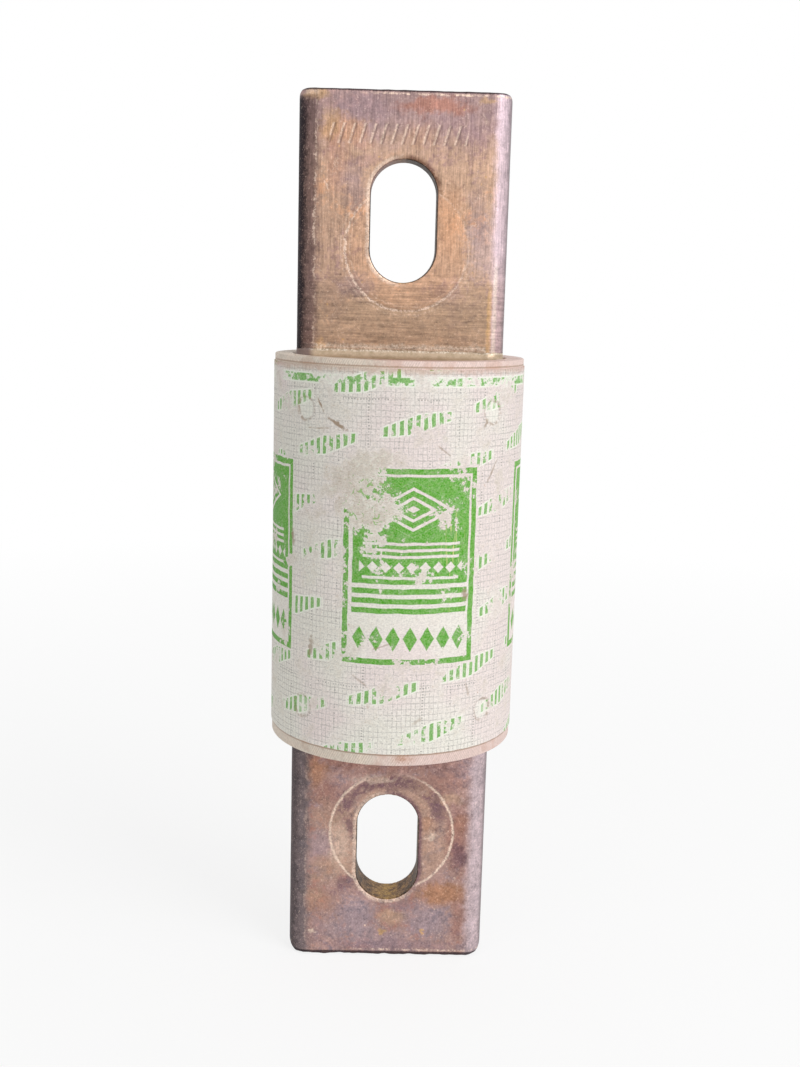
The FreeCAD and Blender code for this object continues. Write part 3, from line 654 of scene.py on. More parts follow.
def edge_marks(tree, shade, point, spots, mottle, grain, colours, upper):
    """Lays the painted dark reflection of a blade's left edge, and the polish and painted highlight of its
    right edge, over a shade. Returns it with how dark the left edge is painted.
    """
    across, _, height = add(tree, "SeparateXYZ", point, out=None)
    # A painted dark reflection, brown and then black, lies on the left edge, and polish under a painted
    # highlight on the right one, with wandering borders. A broken bare line runs up the corner of the left
    # edge.
    sway = total(tree, -1.3, (spots, 2.6))
    wander = total(tree, across, (mottle, 1.6), (sway, 1))
    film = mask(tree, (wander, -18.3, -21.2), 0.85)
    if upper:
        # The painted dark reflection fades out at the top corner.
        film = mask(tree, film, (total(tree, height, (mottle, 1.6)), 109.4, 107.2))
    painted_edge_shade = total(tree, wander, (grain, 2.0))
    shown = 0.6 if upper else 0.2
    bare = total(tree, across, (mottle, 1.2), (sway, 1.6))
    # Polish under a painted highlight on the right edge.
    polish = mask(tree, (wander, 21.2, 23.6), 0.9) if upper else mask(tree, (wander, 20.2, 23.4), 0.85)
    shade = lay(
        tree, shade,
        (colours.film if upper else colours.grey_film_and_shade, film),
        (colours.painted_edge_shade, (painted_edge_shade, -20.6, -22.8), film, 1.14 if upper else 0.53),
        (colours.scrape, (bare, -20.4, 0.4, 0.1), (spots, 0.42, 0.58), (grain, 0.38, 0.52), shown),
        (colours.polish_and_highlight if upper else colours.silver_polish_and_highlight, polish),
    )
    if upper:
        # Low on the right the bar shows a bright line, 0.8 mm wide, a painted highlight on bare copper, and a
        # golden one left of it. Near the barrel the painted highlight of the right edge is pinker.
        beside = total(tree, across, (mottle, 1.2))
        shade = lay(
            tree, shade,
            (colours.gold, (beside, 21.9, 0.9, 0.2), (height, 67, 62), 0.8),
            (colours.dust_and_highlight, (beside, 23.2, 0.7, 0.2), (height, 73, 64), 0.6),
            (colours.mauve, polish, (height, 74, 60), 0.5),
        )
    return shade, film


def end_marks(tree, shade, point, mottle, grain, colours, side):
    """Lays the specks of a whole blade, the painted dark outline of its right edge, and the painted highlight
    and shade of its sawn end over a shade.
    """
    across, _, height = add(tree, "SeparateXYZ", point, out=None)
    # The sawn end has a light line, wear with painted highlights, and a painted dark corner, a painted shade.
    # The sawn face itself, 50.8 by 9.5 mm with round ends, is painted dark only near its outline.
    tip = total(tree, 0.0, (height, side), (grain, 0.8))
    corner = 109.0 if side > 0 else 108.4
    outline = add(tree, "MapRange", core_distance(tree, point, (20.64, 0, 200)), 3.4, 4.4, 0.25, 0.85)
    return lay(
        tree, shade,
        # A painted dark line, a painted shade, runs up the outermost 0.6 mm of the right edge.
        (colours.grey_film_and_shade, (across, 24.1, 25.3), 0.75),
        # Light specks and dark pits are grains of oxide about 0.5 mm wide.
        (colours.scrape, (grain, 0.6, 0.7), 0.45),
        (colours.film, (grain, 0.38, 0.3), 0.35),
        (colours.scrape, (tip, corner, 0.35, 0.1), (mottle, 0.42, 0.64), (across, -14, 0)),
        (colours.painted_edge_shade, (tip, corner + 0.3, corner + 0.6), outline),
    )


def slot_distance(tree, point, middle, sizes):
    """Distance in millimetres from a slot's edge, seen from the front: 0 on its wall, more on the flat
    round it."""
    flat = add(tree, "Mapping", {"Vector": point, "Location": (0, 0, -middle / MM), "Scale": (1, 0, 1)})
    straight = (sizes.slot_height - sizes.slot_width) / 2 / MM
    return total(tree, -sizes.slot_width / 2 / MM, (core_distance(tree, flat, (0, 0, straight)), 1))


def plain_strokes(tree, flat, front, grain, aside):
    """A row of plain slanted strokes, 2.5 mm apart and 4.6 mm high, where the front was stamped: their
    lit sides, or the shaded ones, aside millimetres to the right."""
    x, y, _ = add(tree, "SeparateXYZ", flat, out=None)
    steps = add(tree, "Math", total(tree, x, (y, -0.3)), 1.25, -1.25, operation="WRAP")
    stroke = box_distance(tree, add(tree, "CombineXYZ", steps, y), (aside, 99.4), (0.24, 2.3))
    stroke = pick(tree, "MAXIMUM", stroke, box_distance(tree, flat, (-1.5, 99.4), (16.4, 3)))
    return mask(tree, (stroke, 0.14, -0.1), front, (grain, 0.3, 0.55), 0.6)


def bar_groups(tree, flat):
    """Slanted groups of plain bars in brick rows, 23 by 12 mm apart: the distance to a bar, negative
    inside."""
    pitch, row_height, step = 23.0, 12.0, 1.9
    turned = {"Vector": flat, "Location": (3.5, -1.5, 0), "Rotation": (0, 0, math.radians(-14))}
    turned = add(tree, "Mapping", turned)
    cells = add(tree, "VectorMath", turned, (pitch, row_height, 1), operation="DIVIDE")
    column, row, _ = add(tree, "SeparateXYZ", cells, out=None)
    column = total(tree, column, (add(tree, "Math", row, operation="FLOOR"), 0.41))
    x, y = (
        total(tree, -size / 2, (add(tree, "Math", cell, operation="FRACT"), size))
        for cell, size in ((column, pitch), (row, row_height))
    )
    lean = total(tree, x, (y, -0.25))
    place = add(tree, "Math", lean, step / 2, -step / 2, operation="WRAP")
    # The bars are shorter towards both ends of a group, so that it looks like a lens.
    place, away, over = (add(tree, "Math", value, operation="ABSOLUTE") for value in (place, lean, y))
    group = box_distance(tree, add(tree, "CombineXYZ", lean, y), (0, 0), (step * 4.5, 2.1))
    tall = total(tree, -2.1, (over, 1), (away, 0.14))
    return pick(tree, "MAXIMUM", total(tree, -0.5, (place, 1)), tall, group)


def diamonds(tree, local, middle, half, pitch, reach):
    """A level row of plain diamonds: distance in their own size, negative inside."""
    moved = add(tree, "VectorMath", local, (*middle, 0), operation="SUBTRACT")
    x, y, _ = add(tree, "SeparateXYZ", moved, out=None)
    place = add(tree, "CombineXYZ", add(tree, "Math", x, pitch / 2, -pitch / 2, operation="WRAP"), y)
    place = add(tree, "VectorMath", place, (*half, 1), operation="DIVIDE")
    place = add(tree, "VectorMath", place, operation="ABSOLUTE")
    far = add(tree, "VectorMath", place, (1, 1, 0), operation="DOT_PRODUCT", out="Value")
    inside = box_distance(tree, local, middle, (reach, half[1] + 1))
    return pick(tree, "MAXIMUM", total(tree, -1.0, (far, 1)), inside)


def panel_print(tree, arc, height, width):
    """The printed panel, four times round the label: a frame, a green field with nested diamonds, rules,
    stripes and a row of diamonds. Returns how much ink there is, and the distance to the panel."""
    x = add(tree, "Math", total(tree, -3.5, (arc, 1)), width / 2, -width / 2, operation="WRAP")
    local = add(tree, "CombineXYZ", x, height)
    outer = box_distance(tree, local, (0, 0.3), (16.15, 23.1))
    # Green parts: the frame, the field and three stripes under it.
    boxes = [((0.2, 8.9), (14.0, 12.5)), *(((0.2, middle), (14.0, 0.65)) for middle in (-5.3, -7.6, -9.9))]
    solid = pick(tree, "MINIMUM", *(box_distance(tree, local, *box) for box in boxes))
    ink = pick(tree, "MAXIMUM", mask(tree, (outer, -0.7, 0.74, 0.62)), mask(tree, (solid, 0.1, -0.1)))
    # White parts of the field: nested diamonds, a row of small ones and four rules.
    nested = diamonds(tree, local, (0.2, 14.0), (12.4, 6.6), 60, 13)
    rings = total(tree, -0.12, (add(tree, "Math", nested, 1 / 3, 0, operation="WRAP"), 1))
    rings = pick(tree, "MAXIMUM", rings, nested)
    small = diamonds(tree, local, (0.2, 0.4), (1.3, 1.3), 3.1, 12.4)
    rules = [box_distance(tree, local, (0.2, middle), (11.6, 0.33)) for middle in (5.9, 4.4, 2.9, -2.1)]
    whites = [mask(tree, (rings, 0.02, -0.02)), *(mask(tree, (part, 0.1, -0.1)) for part in (small, *rules))]
    ink = add(tree, "Math", ink, pick(tree, "MAXIMUM", *whites), operation="SUBTRACT", use_clamp=True)
    row = diamonds(tree, local, (0.2, -16.6), (1.7, 2.9), 4.0, 13.9)
    return pick(tree, "MAXIMUM", ink, mask(tree, (row, 0.08, -0.08))), outer


def label_material(sizes, colours):
    """Varnished paper, printed in one green over a fine grey grid, then rubbed and scratched: matt fibres
    where the varnish has gone, and ink that flakes first in a patch on the front panel."""
    # Printing wobbles by about 0.2 mm over 4 mm. Wear comes in flakes from 7 mm down to 1.3 mm, over paper
    # fibres of 0.4 mm, and the paper is tinted in clouds of 19 mm. Crumbs of ink are 1.4 mm across.
    material, tree, point, *noises = new_material(
        "varnished_paper",
        (4, 4), (7, 4, 0.6, 0.3), (1.3, 5, 0.62), (0.4, 3, 0.7), (19, 3, 0.55), (1.4, 3, 0.6, 1.0),
    )
    (_, wobble), (broad, swirl), (fine, _), (fibre, _), (tint, _), (crumbs, _) = noises
    # The label's own flat coordinates are its arc from the front and its height.
    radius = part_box("printed_label")[1].x / MM
    x, y, height = add(tree, "SeparateXYZ", point, out=None)
    turn = add(tree, "Math", x, add(tree, "Math", y, -1, operation="MULTIPLY"), operation="ARCTAN2")
    turn = add(tree, "Math", turn, sizes.seam, sizes.seam - 2 * math.pi, operation="WRAP")
    arc = add(tree, "Math", turn, radius, operation="MULTIPLY")
    flat = add(tree, "CombineXYZ", arc, height)
    drawn = warp(tree, flat, wobble, 0.7)
    drawn_arc, drawn_height, _ = add(tree, "SeparateXYZ", drawn, out=None)
    laid = add(tree, "VectorMath", flat, (1 / 1.1, 1 / 0.3, 1), operation="MULTIPLY")
    laid = add(tree, "TexNoise", {"Vector": laid, "Scale": 1, "Detail": 3, "Roughness": 0.7})
    # The rubbed patches' outlines wander by up to 3 mm.
    loose = warp(tree, flat, swirl, 16)
    patch = pick(tree, "MAXIMUM", *(
        add(tree, "MapRange", turned_oval(tree, loose, middle, half), 0.6, 1.2, strength, 0.0)
        for middle, half, strength in RUBBED
    ))
    wear = total(tree, broad, (fine, 0.6), (patch, 1))
    flake = total(tree, 0.035, (fibre, 0.18), (wear, 1))
    width = 2 * math.pi * radius / PANEL_COUNT
    panel, panel_near = panel_print(tree, drawn_arc, drawn_height, width)
    panel = mask(tree, panel, (flake, 1.06, 1.02))
    outside = mask(tree, (panel_near, 0.5, 0.7))
    bars_near = bar_groups(tree, drawn)
    bars = mask(tree, (bars_near, 0.1, -0.1), outside, (flake, 1.0, 0.92))
    strip_near = box_distance(tree, flat, (0, 43.0), (200, 0.9))
    bars = pick(tree, "MAXIMUM", bars, mask(tree, (strip_near, 0.15, -0.15), (flake, 0.93, 0.83)))
    # The paper: clean, pink or grey, with worn clouds, laid lines and fibres in it, and a little greyer
    # towards its top.
    papers = [(0.35, colours.grey_paper), (0.48, colours.paper), (0.58, colours.pink_paper)]
    shade = add(tree, "ValToRGB", total(tree, tint, (arc, 0.0035)), stops=papers)
    shade = lay(tree, shade, (colours.worn_paper, (wear, 0.8, 1.15), 0.75))
    weave = total(tree, laid, (height, -0.001), (fibre, 0.8))
    weave = add(tree, "MapRange", weave, 0.65, 1.15, 0.74, 1.14)
    shade = add(tree, "Mix", 1.0, {6: shade, 7: weave}, out=2, data_type="RGBA", blend_type="MULTIPLY")
    # The fine grid is 1.1 mm by 1.4 mm; dotted lines stand every 7.1 mm, and lie near both ends.
    thread_across, thread_up = grid_distance(tree, drawn, 1.1, 1.4)
    lines = pick(tree, "MAXIMUM", mask(tree, (thread_across, 0.16, 0.02)), mask(tree, (thread_up, 0.2, 0.03)))
    lines = mask(tree, lines, (flake, 1.1, 0.86), (fibre, 0.9, 0.3), 0.66)
    dot_across, dot_up = grid_distance(tree, drawn, 0.7, 0.7)
    stand = add(tree, "Math", drawn_arc, 3.55, -3.55, operation="WRAP")
    lie = add(tree, "Math", total(tree, -5.15, (drawn_height, 1)), operation="ABSOLUTE")
    for line, place, dot in ((stand, 0, dot_up), (lie, 33.75, dot_across)):
        dots = mask(tree, (line, place, 0.24, 0.1), (dot, 0.2, 0.1), (flake, 1.0, 0.85))
        lines = pick(tree, "MAXIMUM", lines, dots)
    print_near = pick(tree, "MINIMUM", bars_near, strip_near)
    clear = pick(tree, "MINIMUM", panel_near, print_near)
    # Ink is thin, and the paper's fibres show through it. The panel on the left side is painted fuller and
    # darker, a painted shade.
    handled = add(tree, "MapRange", arc, -40, -32, 0.25, 1.0)
    green = lay(tree, colours.ink, (colours.pale_ink, (fibre, 0.35, 0.65), handled))
    cover = mask(
        tree,
        add(tree, "MapRange", total(tree, fibre, (fine, 0.8)), 0.7, 1.15, 1.0, 0.84),
        add(tree, "MapRange", wear, 0.78, 1.0, 1.0, 0.8),
    )
    # Yellowed scratches run down the panel's right part, 0.3 mm wide and about 8 mm long.
    slanted = {"Vector": flat, "Rotation": (0, 0, math.radians(-8)), "Scale": (1 / 0.6, 1 / 9, 1)}
    scrape = add(tree, "Mapping", slanted)
    scrape = add(tree, "TexNoise", {"Vector": scrape, "Scale": 1, "Detail": 3, "Roughness": 0.65})
    rubbed = mask(tree, (patch, 0.12, 0.18))
    speck = total(tree, laid, (patch, 0.25))
    ragged = total(tree, -1.5, (fine, 3.0))
    creased = pick(tree, "MAXIMUM", *(
        mask(tree, (total(tree, ragged, (turned_oval(tree, drawn, *place), 1)), 1.2, 0.4), strength)
        for *place, strength in CREASES
    ))
    # Distance from the nearest of the eight pins under the paper.
    pin_x = add(tree, "Math", total(tree, -width / 2, (arc, 1)), width / 2, -width / 2, operation="WRAP")
    pin_y = total(tree, -sizes.pin_height / MM, (add(tree, "Math", height, operation="ABSOLUTE"), 1))
    pin = add(tree, "VectorMath", add(tree, "CombineXYZ", pin_x, pin_y), operation="LENGTH", out="Value")
    pin = total(tree, pin, (fine, 0.8))
    shade = lay(
        tree, shade,
        (colours.grid, lines, (clear, 0.25, 0.5)),
        # Clean paper shows close round the bars.
        (colours.halo, (print_near, 0.5, 0.15), outside, (flake, 1.02, 0.86), 0.75),
        (green, panel, cover),
        (green, bars, total(tree, -0.4, (cover, 1.3))),
        (colours.straw, (scrape, 0.56, 0.66), blotch(tree, drawn, (13.4, 4), (3, 13)), panel),
        # Where the panel is rubbed, crumbs of ink are left between clean torn fibres.
        (colours.halo, (crumbs, 0.44, 0.38), rubbed, 0.25),
        (colours.pale_ink, (crumbs, 0.6, 0.63), rubbed, (panel_near, 1.0, -1.0), 0.7),
        # Brown specks and fibres lie all over, thicker in the rubbed patch.
        (colours.bruise, (speck, 0.58, 0.68), 0.55),
        (colours.rust, (fine, 0.69, 0.75), 0.7),
        (colours.bruise, creased),
        # Dirt has settled round the pins, and a pinkish stain along the upper edge.
        (colours.bruise, (pin, sizes.pin_radius / MM, 0.6, 0.05), (fine, 0.42, 0.62), 0.7),
        (colours.halo, (pin, 3.0, 2.4), 0.3),
        (colours.rust, (total(tree, height, (fine, 3.0)), 45.6, 47.2), 0.4),
    )
    return finish(
        material, total(tree, fine, (panel, 0.5), (weave, 0.6), (creased, -0.8)), 0.5, 0.06,
        Base_Color=shade, Roughness=add(tree, "MapRange", wear, 0.7, 1.0, 0.5, 0.85),
        IOR=1.48, Specular_IOR_Level=0.1,
    )


def melamine_material(colours):
    """Glass cloth wound in melamine and ground at its rims: a matt cream with the cut threads as fine
    slanted lines round the rims, thin resin lines between the layers and dirt along the label's edges."""
    material, tree, point, (cloudy, _), (fine, _) = new_material(
        "melamine_glass_cloth", (5, 4, 0.6), (0.5, 3, 0.7)
    )
    across, depth, height = add(tree, "SeparateXYZ", point, out=None)
    radius = add(tree, "VectorMath", add(tree, "CombineXYZ", across, depth), operation="LENGTH", out="Value")
    # Layers of cloth are 0.4 mm thick.
    layer = add(tree, "Math", total(tree, radius, (fine, 0.2)), 0.2, -0.2, operation="WRAP")
    # 320 cut threads stand 0.6 mm apart round the rims, and slant.
    turn = add(tree, "Math", across, depth, operation="ARCTAN2")
    thread = total(tree, 0.0, (turn, 320 / (2 * math.pi)), (height, 0.9), (fine, 0.5))
    thread = add(tree, "Math", thread, 0.5, -0.5, operation="WRAP")
    thread = mask(tree, (thread, 0, 0.24, 0.06), (cloudy, 0.7, 0.4))
    seam = mask(tree, (layer, 0, 0.08, 0.02))
    seam = add(tree, "Mix", mask(tree, (radius, 30.2, 30.4)), {2: seam, 3: thread})
    # Dirt lies 0.4 mm above the label's upper edge, and 0.2 mm under its lower one lies dirt with a painted
    # shadow of the paper's edge.
    settled = total(tree, height, (fine, 0.3))
    facing = add(tree, "CombineXYZ", across, height)
    ragged = total(tree, cloudy, (fine, 1.2))
    shade = lay(
        tree, colours.melamine,
        (colours.worn_paper, (cloudy, 0.35, 0.7)),
        (colours.pink_melamine, (total(tree, across, (cloudy, 16)), 0, 12)),
        (colours.resin, seam, 0.4),
        (colours.resin, (settled, 46.4, 0.3, 0.08), 0.8),
        (colours.resin, (settled, -44.8, 0.3, 0.08), 0.8),
        (colours.rust, (cloudy, 0.52, 0.66), 0.3),
        (colours.rust, blotch(tree, facing, (3.0, -45.8), (5, 2), ragged), 0.8),
    )
    speckle = add(tree, "MapRange", fine, 0.3, 0.7, 0.86, 1.12)
    shade = add(tree, "Mix", 1.0, {6: shade, 7: speckle}, out=2, data_type="RGBA", blend_type="MULTIPLY")
    relief = total(tree, fine, (seam, -1.0))
    return finish(material, relief, 0.4, 0.05, Base_Color=shade, Roughness=0.62, IOR=1.6)


def plain_material(name, base, dirt, metallic, rough, grain_size, depth):
    """A metal or mineral with a grain: colour, polish and height all vary a little, grain_size
    millimetres at a time. The eye reads the grain as rolled, cast or turned metal rather than paint."""
    noises = (5 * grain_size, 4, 0.6), (grain_size, 3, 0.65)
    material, tree, _, (broad, _), (grain, _) = new_material(name, *noises)
    mixed = total(tree, broad, (grain, 0.5))
    return finish(
        material, grain, 0.4, depth,
        Base_Color=lay(tree, base, (dirt, (mixed, 0.6, 0.95))), Metallic=metallic,
        Roughness=add(tree, "MapRange", mixed, 0.5, 1.0, rough - 0.1, rough + 0.15),
    )


class FUSE_OT_tube(bpy.types.Operator):
    """Spins the tube with rounded rims, and drills its eight pin holes"""

    bl_idname = "fuse.tube"
    bl_label = "Tube"

    def execute(self, context):
        sizes = context.scene.fuse_sizes
        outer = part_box("barrel")[1]
        radius, top = outer.y, outer.z
        bm = bmesh.new()
        bmesh.ops.create_grid(bm, x_segments=1, y_segments=1, size=0.5)
        bmesh.ops.scale(bm, vec=(sizes.wall, 2 * top, 1), verts=bm.verts)
        bmesh.ops.rotate(bm, matrix=Matrix.Rotation(math.pi / 2, 3, "X"), verts=bm.verts)
        bmesh.ops.translate(bm, vec=(radius - sizes.wall / 2, 0, 0), verts=bm.verts)
        middle = radius - sizes.wall / 2
        for rounding, corners in (
            (sizes.rim_round, [v for v in bm.verts if v.co.x > middle]),
            (sizes.bore_round, [v for v in bm.verts if v.co.x < middle]),
        ):
            bmesh.ops.bevel(
                bm, geom=corners, offset=rounding, segments=6, profile=0.5, affect="VERTICES", material=-1
            )
        bmesh.ops.delete(bm, geom=bm.faces[:], context="FACES_ONLY")
        bmesh.ops.spin(
            bm, geom=bm.verts[:] + bm.edges[:], cent=(0, 0, 0), axis=(0, 0, 1),
            angle=2 * math.pi, steps=192, use_merge=True,
        )
        bmesh.ops.remove_doubles(bm, verts=bm.verts, dist=WELD)
        bmesh.ops.recalc_face_normals(bm, faces=bm.faces)
        material = melamine_material(context.scene.fuse_colours)
        tube = new_piece("tube_rounded", bm, material, "barrel_tube", "barrel")
        drills = bmesh.new()
        for azimuth in PIN_AZIMUTHS:
            for height in (-sizes.pin_height, sizes.pin_height):
                place = Matrix.Translation(around(azimuth, radius, height))
                turn = Matrix.Rotation(azimuth, 4, "Z") @ Matrix.Rotation(math.pi / 2, 4, "X")
                bmesh.ops.create_cone(
                    drills, cap_ends=True, segments=48, radius1=sizes.pin_radius, radius2=sizes.pin_radius,
                    depth=4 * sizes.wall, matrix=place @ turn,
                )
        mesh = bpy.data.meshes.new("drills")
        drills.to_mesh(mesh)
        drills.free()
        cutter = bpy.data.objects.new("drills", mesh)
        context.scene.collection.objects.link(cutter)
        holes = tube.modifiers.new("Pin holes", "BOOLEAN")
        holes.operation = "DIFFERENCE"
        holes.solver = "EXACT"
        holes.object = cutter
        settle(tube)
        bpy.data.objects.remove(cutter)
        tube.data.set_sharp_from_angle(angle=math.radians(40))
        return {"FINISHED"}


class FUSE_OT_label(bpy.types.Operator):
    """Wraps the printed label round the tube, laps its end and presses it into the pin holes"""

    bl_idname = "fuse.label"
    bl_label = "Label"

    def execute(self, context):
        sizes = context.scene.fuse_sizes
        low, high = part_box("printed_label")
        inner = high.y - sizes.paper
        bm = bmesh.new()
        foot = bm.verts.new(around(sizes.seam, inner, low.z))
        head = bm.verts.new(around(sizes.seam, inner, high.z))
        line = bm.edges.new((foot, head))
        bmesh.ops.subdivide_edges(bm, edges=[line], cuts=59)
        ramp = math.radians(2.5)
        first = bmesh.ops.spin(
            bm, geom=bm.verts[:] + bm.edges[:], cent=(0, 0, 0), axis=(0, 0, 1),
            angle=2 * math.pi - ramp, steps=238, use_merge=False,
        )
        wound = set(bm.verts)
        lap = ramp + sizes.lap / inner
        bmesh.ops.spin(
            bm, geom=first["geom_last"], cent=(0, 0, 0), axis=(0, 0, 1), angle=lap, steps=12, use_merge=False
        )
        for vertex in bm.verts:
            if vertex in wound:
                continue
            azimuth = math.atan2(vertex.co.x, -vertex.co.y) % (2 * math.pi)
            rise = sizes.lap_rise * smooth_step(azimuth, sizes.seam - ramp, sizes.seam)
            vertex.co = around(azimuth, inner + rise, vertex.co.z)
        centres = [around(a, inner, z) for a in PIN_AZIMUTHS for z in (-sizes.pin_height, sizes.pin_height)]
        near, soft, frayed, fray_width = 5 * MM, 0.3 * MM, 0.22 * MM, 2.2 * MM
        close = [e for e in bm.edges if any((e.verts[0].co - c).length < near for c in centres)]
        bmesh.ops.subdivide_edges(bm, edges=close, cuts=4, use_grid_fill=True)
        for vertex in bm.verts:
            azimuth = math.atan2(vertex.co.x, -vertex.co.y)
            radius = math.hypot(vertex.co.x, vertex.co.y)
            height = vertex.co.z
            for centre in centres:
                far = (vertex.co - centre).length
                if far < near:
                    sunk = 1 - smooth_step(far, sizes.pin_radius - 2 * soft, sizes.pin_radius)
                    raised = sizes.burr * math.exp(-(((far - sizes.pin_radius) / soft) ** 2))
                    radius += raised - sizes.dimple * sunk
            edge = min(high.z - height, height - low.z)
            if edge < 0.1 * MM:
                fray = frayed * abs(noise.noise(vertex.co / fray_width))
                height += fray if height < 0 else -fray
            vertex.co = around(azimuth, radius, height)
        bmesh.ops.recalc_face_normals(bm, faces=bm.faces)
        bm.faces.ensure_lookup_table()
        sample = bm.faces[0]
        if sample.normal.dot(Vector((*sample.calc_center_median().xy, 0))) < 0:
            bmesh.ops.reverse_faces(bm, faces=bm.faces)
        material = label_material(sizes, context.scene.fuse_colours)
        label = new_piece("label_wrap", bm, material, "label_paper", "printed_label")
        paper = label.modifiers.new("Paper", "SOLIDIFY")
        paper.thickness = sizes.paper
        paper.offset = 1
        settle(label)
        label.data.set_sharp_from_angle(angle=math.radians(50))
        return {"FINISHED"}


class FUSE_OT_blades(bpy.types.Operator):
    """Wears both blades: rubbed edges, washer rings, dents and a nicked end"""

    bl_idname = "fuse.blades"
    bl_label = "Blades"

    def execute(self, context):
        sizes = context.scene.fuse_sizes
        colours = context.scene.fuse_colours
        for side, end, look, washer, height, ragged in (
            (1, "upper", "tarnished_brushed_copper", sizes.upper_washer, sizes.upper_washer_height, 0.1 * MM),
            (-1, "lower", "oxidised_copper", sizes.lower_washer, sizes.lower_washer_height, sizes.ragged),
        ):
            material = copper_material(look, sizes, colours, side)
            press = blade_press(sizes, side, washer, height, ragged)
            worn_piece(end + "_blade_worn", end + "_blade", material, "blade_copper", sizes, press)
        return {"FINISHED"}


class FUSE_OT_braze(bpy.types.Operator):
    """Runs a hollow fillet of braze round each blade's root, uneven as a melted alloy sets"""

    bl_idname = "fuse.braze"
    bl_label = "Braze"

    def execute(self, context):
        sizes = context.scene.fuse_sizes
        colours = context.scene.fuse_colours
        material = self.alloy(colours)
        for end, side in (("upper", 1), ("lower", -1)):
            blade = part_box(end + "_blade")[1]
            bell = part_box(end + "_end_bell")[1 if side > 0 else 0].z
            bm = bmesh.new()
            bmesh.ops.create_circle(bm, segments=256, radius=blade.y)
            reach = blade.x - blade.y
            bmesh.ops.subdivide_edges(
                bm, edges=[e for e in bm.edges if all(abs(v.co.x) < 0.1 * MM for v in e.verts)], cuts=1
            )
            for way in (-1, 1):
                half = [v for v in bm.verts if v.co.x * way > 0]
                bmesh.ops.translate(bm, vec=(way * reach, 0, 0), verts=half)
            across = [e for e in bm.edges if e.calc_length() > reach]
            bmesh.ops.subdivide_edges(bm, edges=across, cuts=90)
            self.climb(bm, sizes, reach, bell, side)
            new_piece(end + "_braze_bead", bm, material, "braze_alloy", end + "_braze_fillets")
        return {"FINISHED"}

    def alloy(self, colours):
        """Brazing alloy as it melted: a dull straw yellow, darker at its foot, with flecks of flux and a
        painted highlight along its upper edge, and a painted dark reflection by the left edges."""
        material = plain_material("brazing_alloy", colours.braze, colours.flux, 0.4, 0.45, 0.5, 0.05)
        tree = material.node_tree
        base = tree.nodes["Principled BSDF"].inputs["Base Color"]
        point = tree.nodes["Mapping"].outputs[0]
        across, _, height = add(tree, "SeparateXYZ", point, out=None)
        high = add(tree, "Math", height, operation="ABSOLUTE")
        grain = add(tree, "TexNoise", {"Vector": point, "Scale": 1 / 0.45, "Detail": 3, "Roughness": 0.75})
        shade = lay(
            tree, base.links[0].from_socket,
            # Flecks of flux with a painted highlight along the upper edge.
            (colours.dust_and_highlight, (high, 48.1, 48.8), (grain, 0.42, 0.62)),
            (colours.slot_olive, (high, 47.8, 46.8), 0.3),
            # A painted dark reflection by the left edges.
            (colours.film, (across, -20.5, -22.5), 0.85),
        )
        tree.links.new(shade, base)
        return material

    def climb(self, bm, sizes, reach, bell, side):
        """Extrudes the blade's outline round a hollow quarter section, from inside the blade and back."""
        outline = {v: v.co.copy() for v in bm.verts}
        inset = 0.2 * MM
        steps = [(-inset, 0.0)]
        for step in range(7):
            angle = math.radians(15 * step)
            steps.append((1 - math.sin(angle), 1 - math.cos(angle)))
        steps.append((-inset, 1.0))
        loop = bm.edges[:]
        first = loop
        for number, (out, rise) in enumerate(steps):
            if number:
                made = bmesh.ops.extrude_edge_only(bm, edges=loop)["geom"]
                loop = [item for item in made if isinstance(item, bmesh.types.BMEdge)]
                outline = self.follow(outline, made)
            for vertex, start in outline.items():
                middle = Vector((max(-reach, min(reach, start.x)), 0, 0))
                away = (Vector((start.x, start.y, 0)) - middle).normalized()
                lumps = 1 + 0.14 * noise.noise(start / (4.3 * MM)) + 0.06 * noise.noise(start / (0.9 * MM))
                width = sizes.braze_side + (sizes.braze_width - sizes.braze_side) * abs(away.y) ** 3
                place = start + away * (out * width * lumps if out > 0 else out)
                vertex.co = (place.x, place.y, bell + side * rise * sizes.braze_height * lumps)
        bmesh.ops.bridge_loops(bm, edges=first + loop)
        bmesh.ops.recalc_face_normals(bm, faces=bm.faces)

    def follow(self, outline, made):
        """Which outline point each newly extruded vertex stands for."""
        fresh = {item for item in made if isinstance(item, bmesh.types.BMVert)}
        return {
            edge.other_vert(old): start
            for old, start in outline.items()
            for edge in old.link_edges
            if edge.other_vert(old) in fresh
        }


class FUSE_OT_inner_parts(bpy.types.Operator):
    """Finishes the CAD pieces whose shape is right: bells, pins, plug, links, beads and sand"""

    bl_idname = "fuse.inner_parts"
    bl_label = "Inner parts"

    def execute(self, context):
        colours = context.scene.fuse_colours
        links = [f"fuse_link_{number}" for number in range(1, 9)]
        beads = [f"overload_bead_{number}" for number in range(1, 9)]
        pins = "upper_drive_pins", "lower_drive_pins", "fill_plug"
        bells = "upper_end_bell", "lower_end_bell"
        # Name, colour, dirt, share of metal, roughness, and the grain's width and depth in millimetres.
        for look, nodes in (
            (("turned_copper", colours.bell, colours.red, 1, 0.4, 0.6, 0.05), bells),
            (("zinc_plated_steel", colours.steel, colours.flux, 1, 0.4, 0.8, 0.03), pins),
            (("rolled_copper_strip", colours.link, colours.red, 1, 0.3, 0.3, 0.02), links),
            (("cast_tin", colours.tin, colours.steel, 1, 0.35, 0.4, 0.05), beads),
            (("quartz_sand", colours.sand, colours.worn_paper, 0, 0.8, 0.4, 0.3), ["sand_filler"]),
        ):
            dress(plain_material(*look), *nodes)
        return {"FINISHED"}


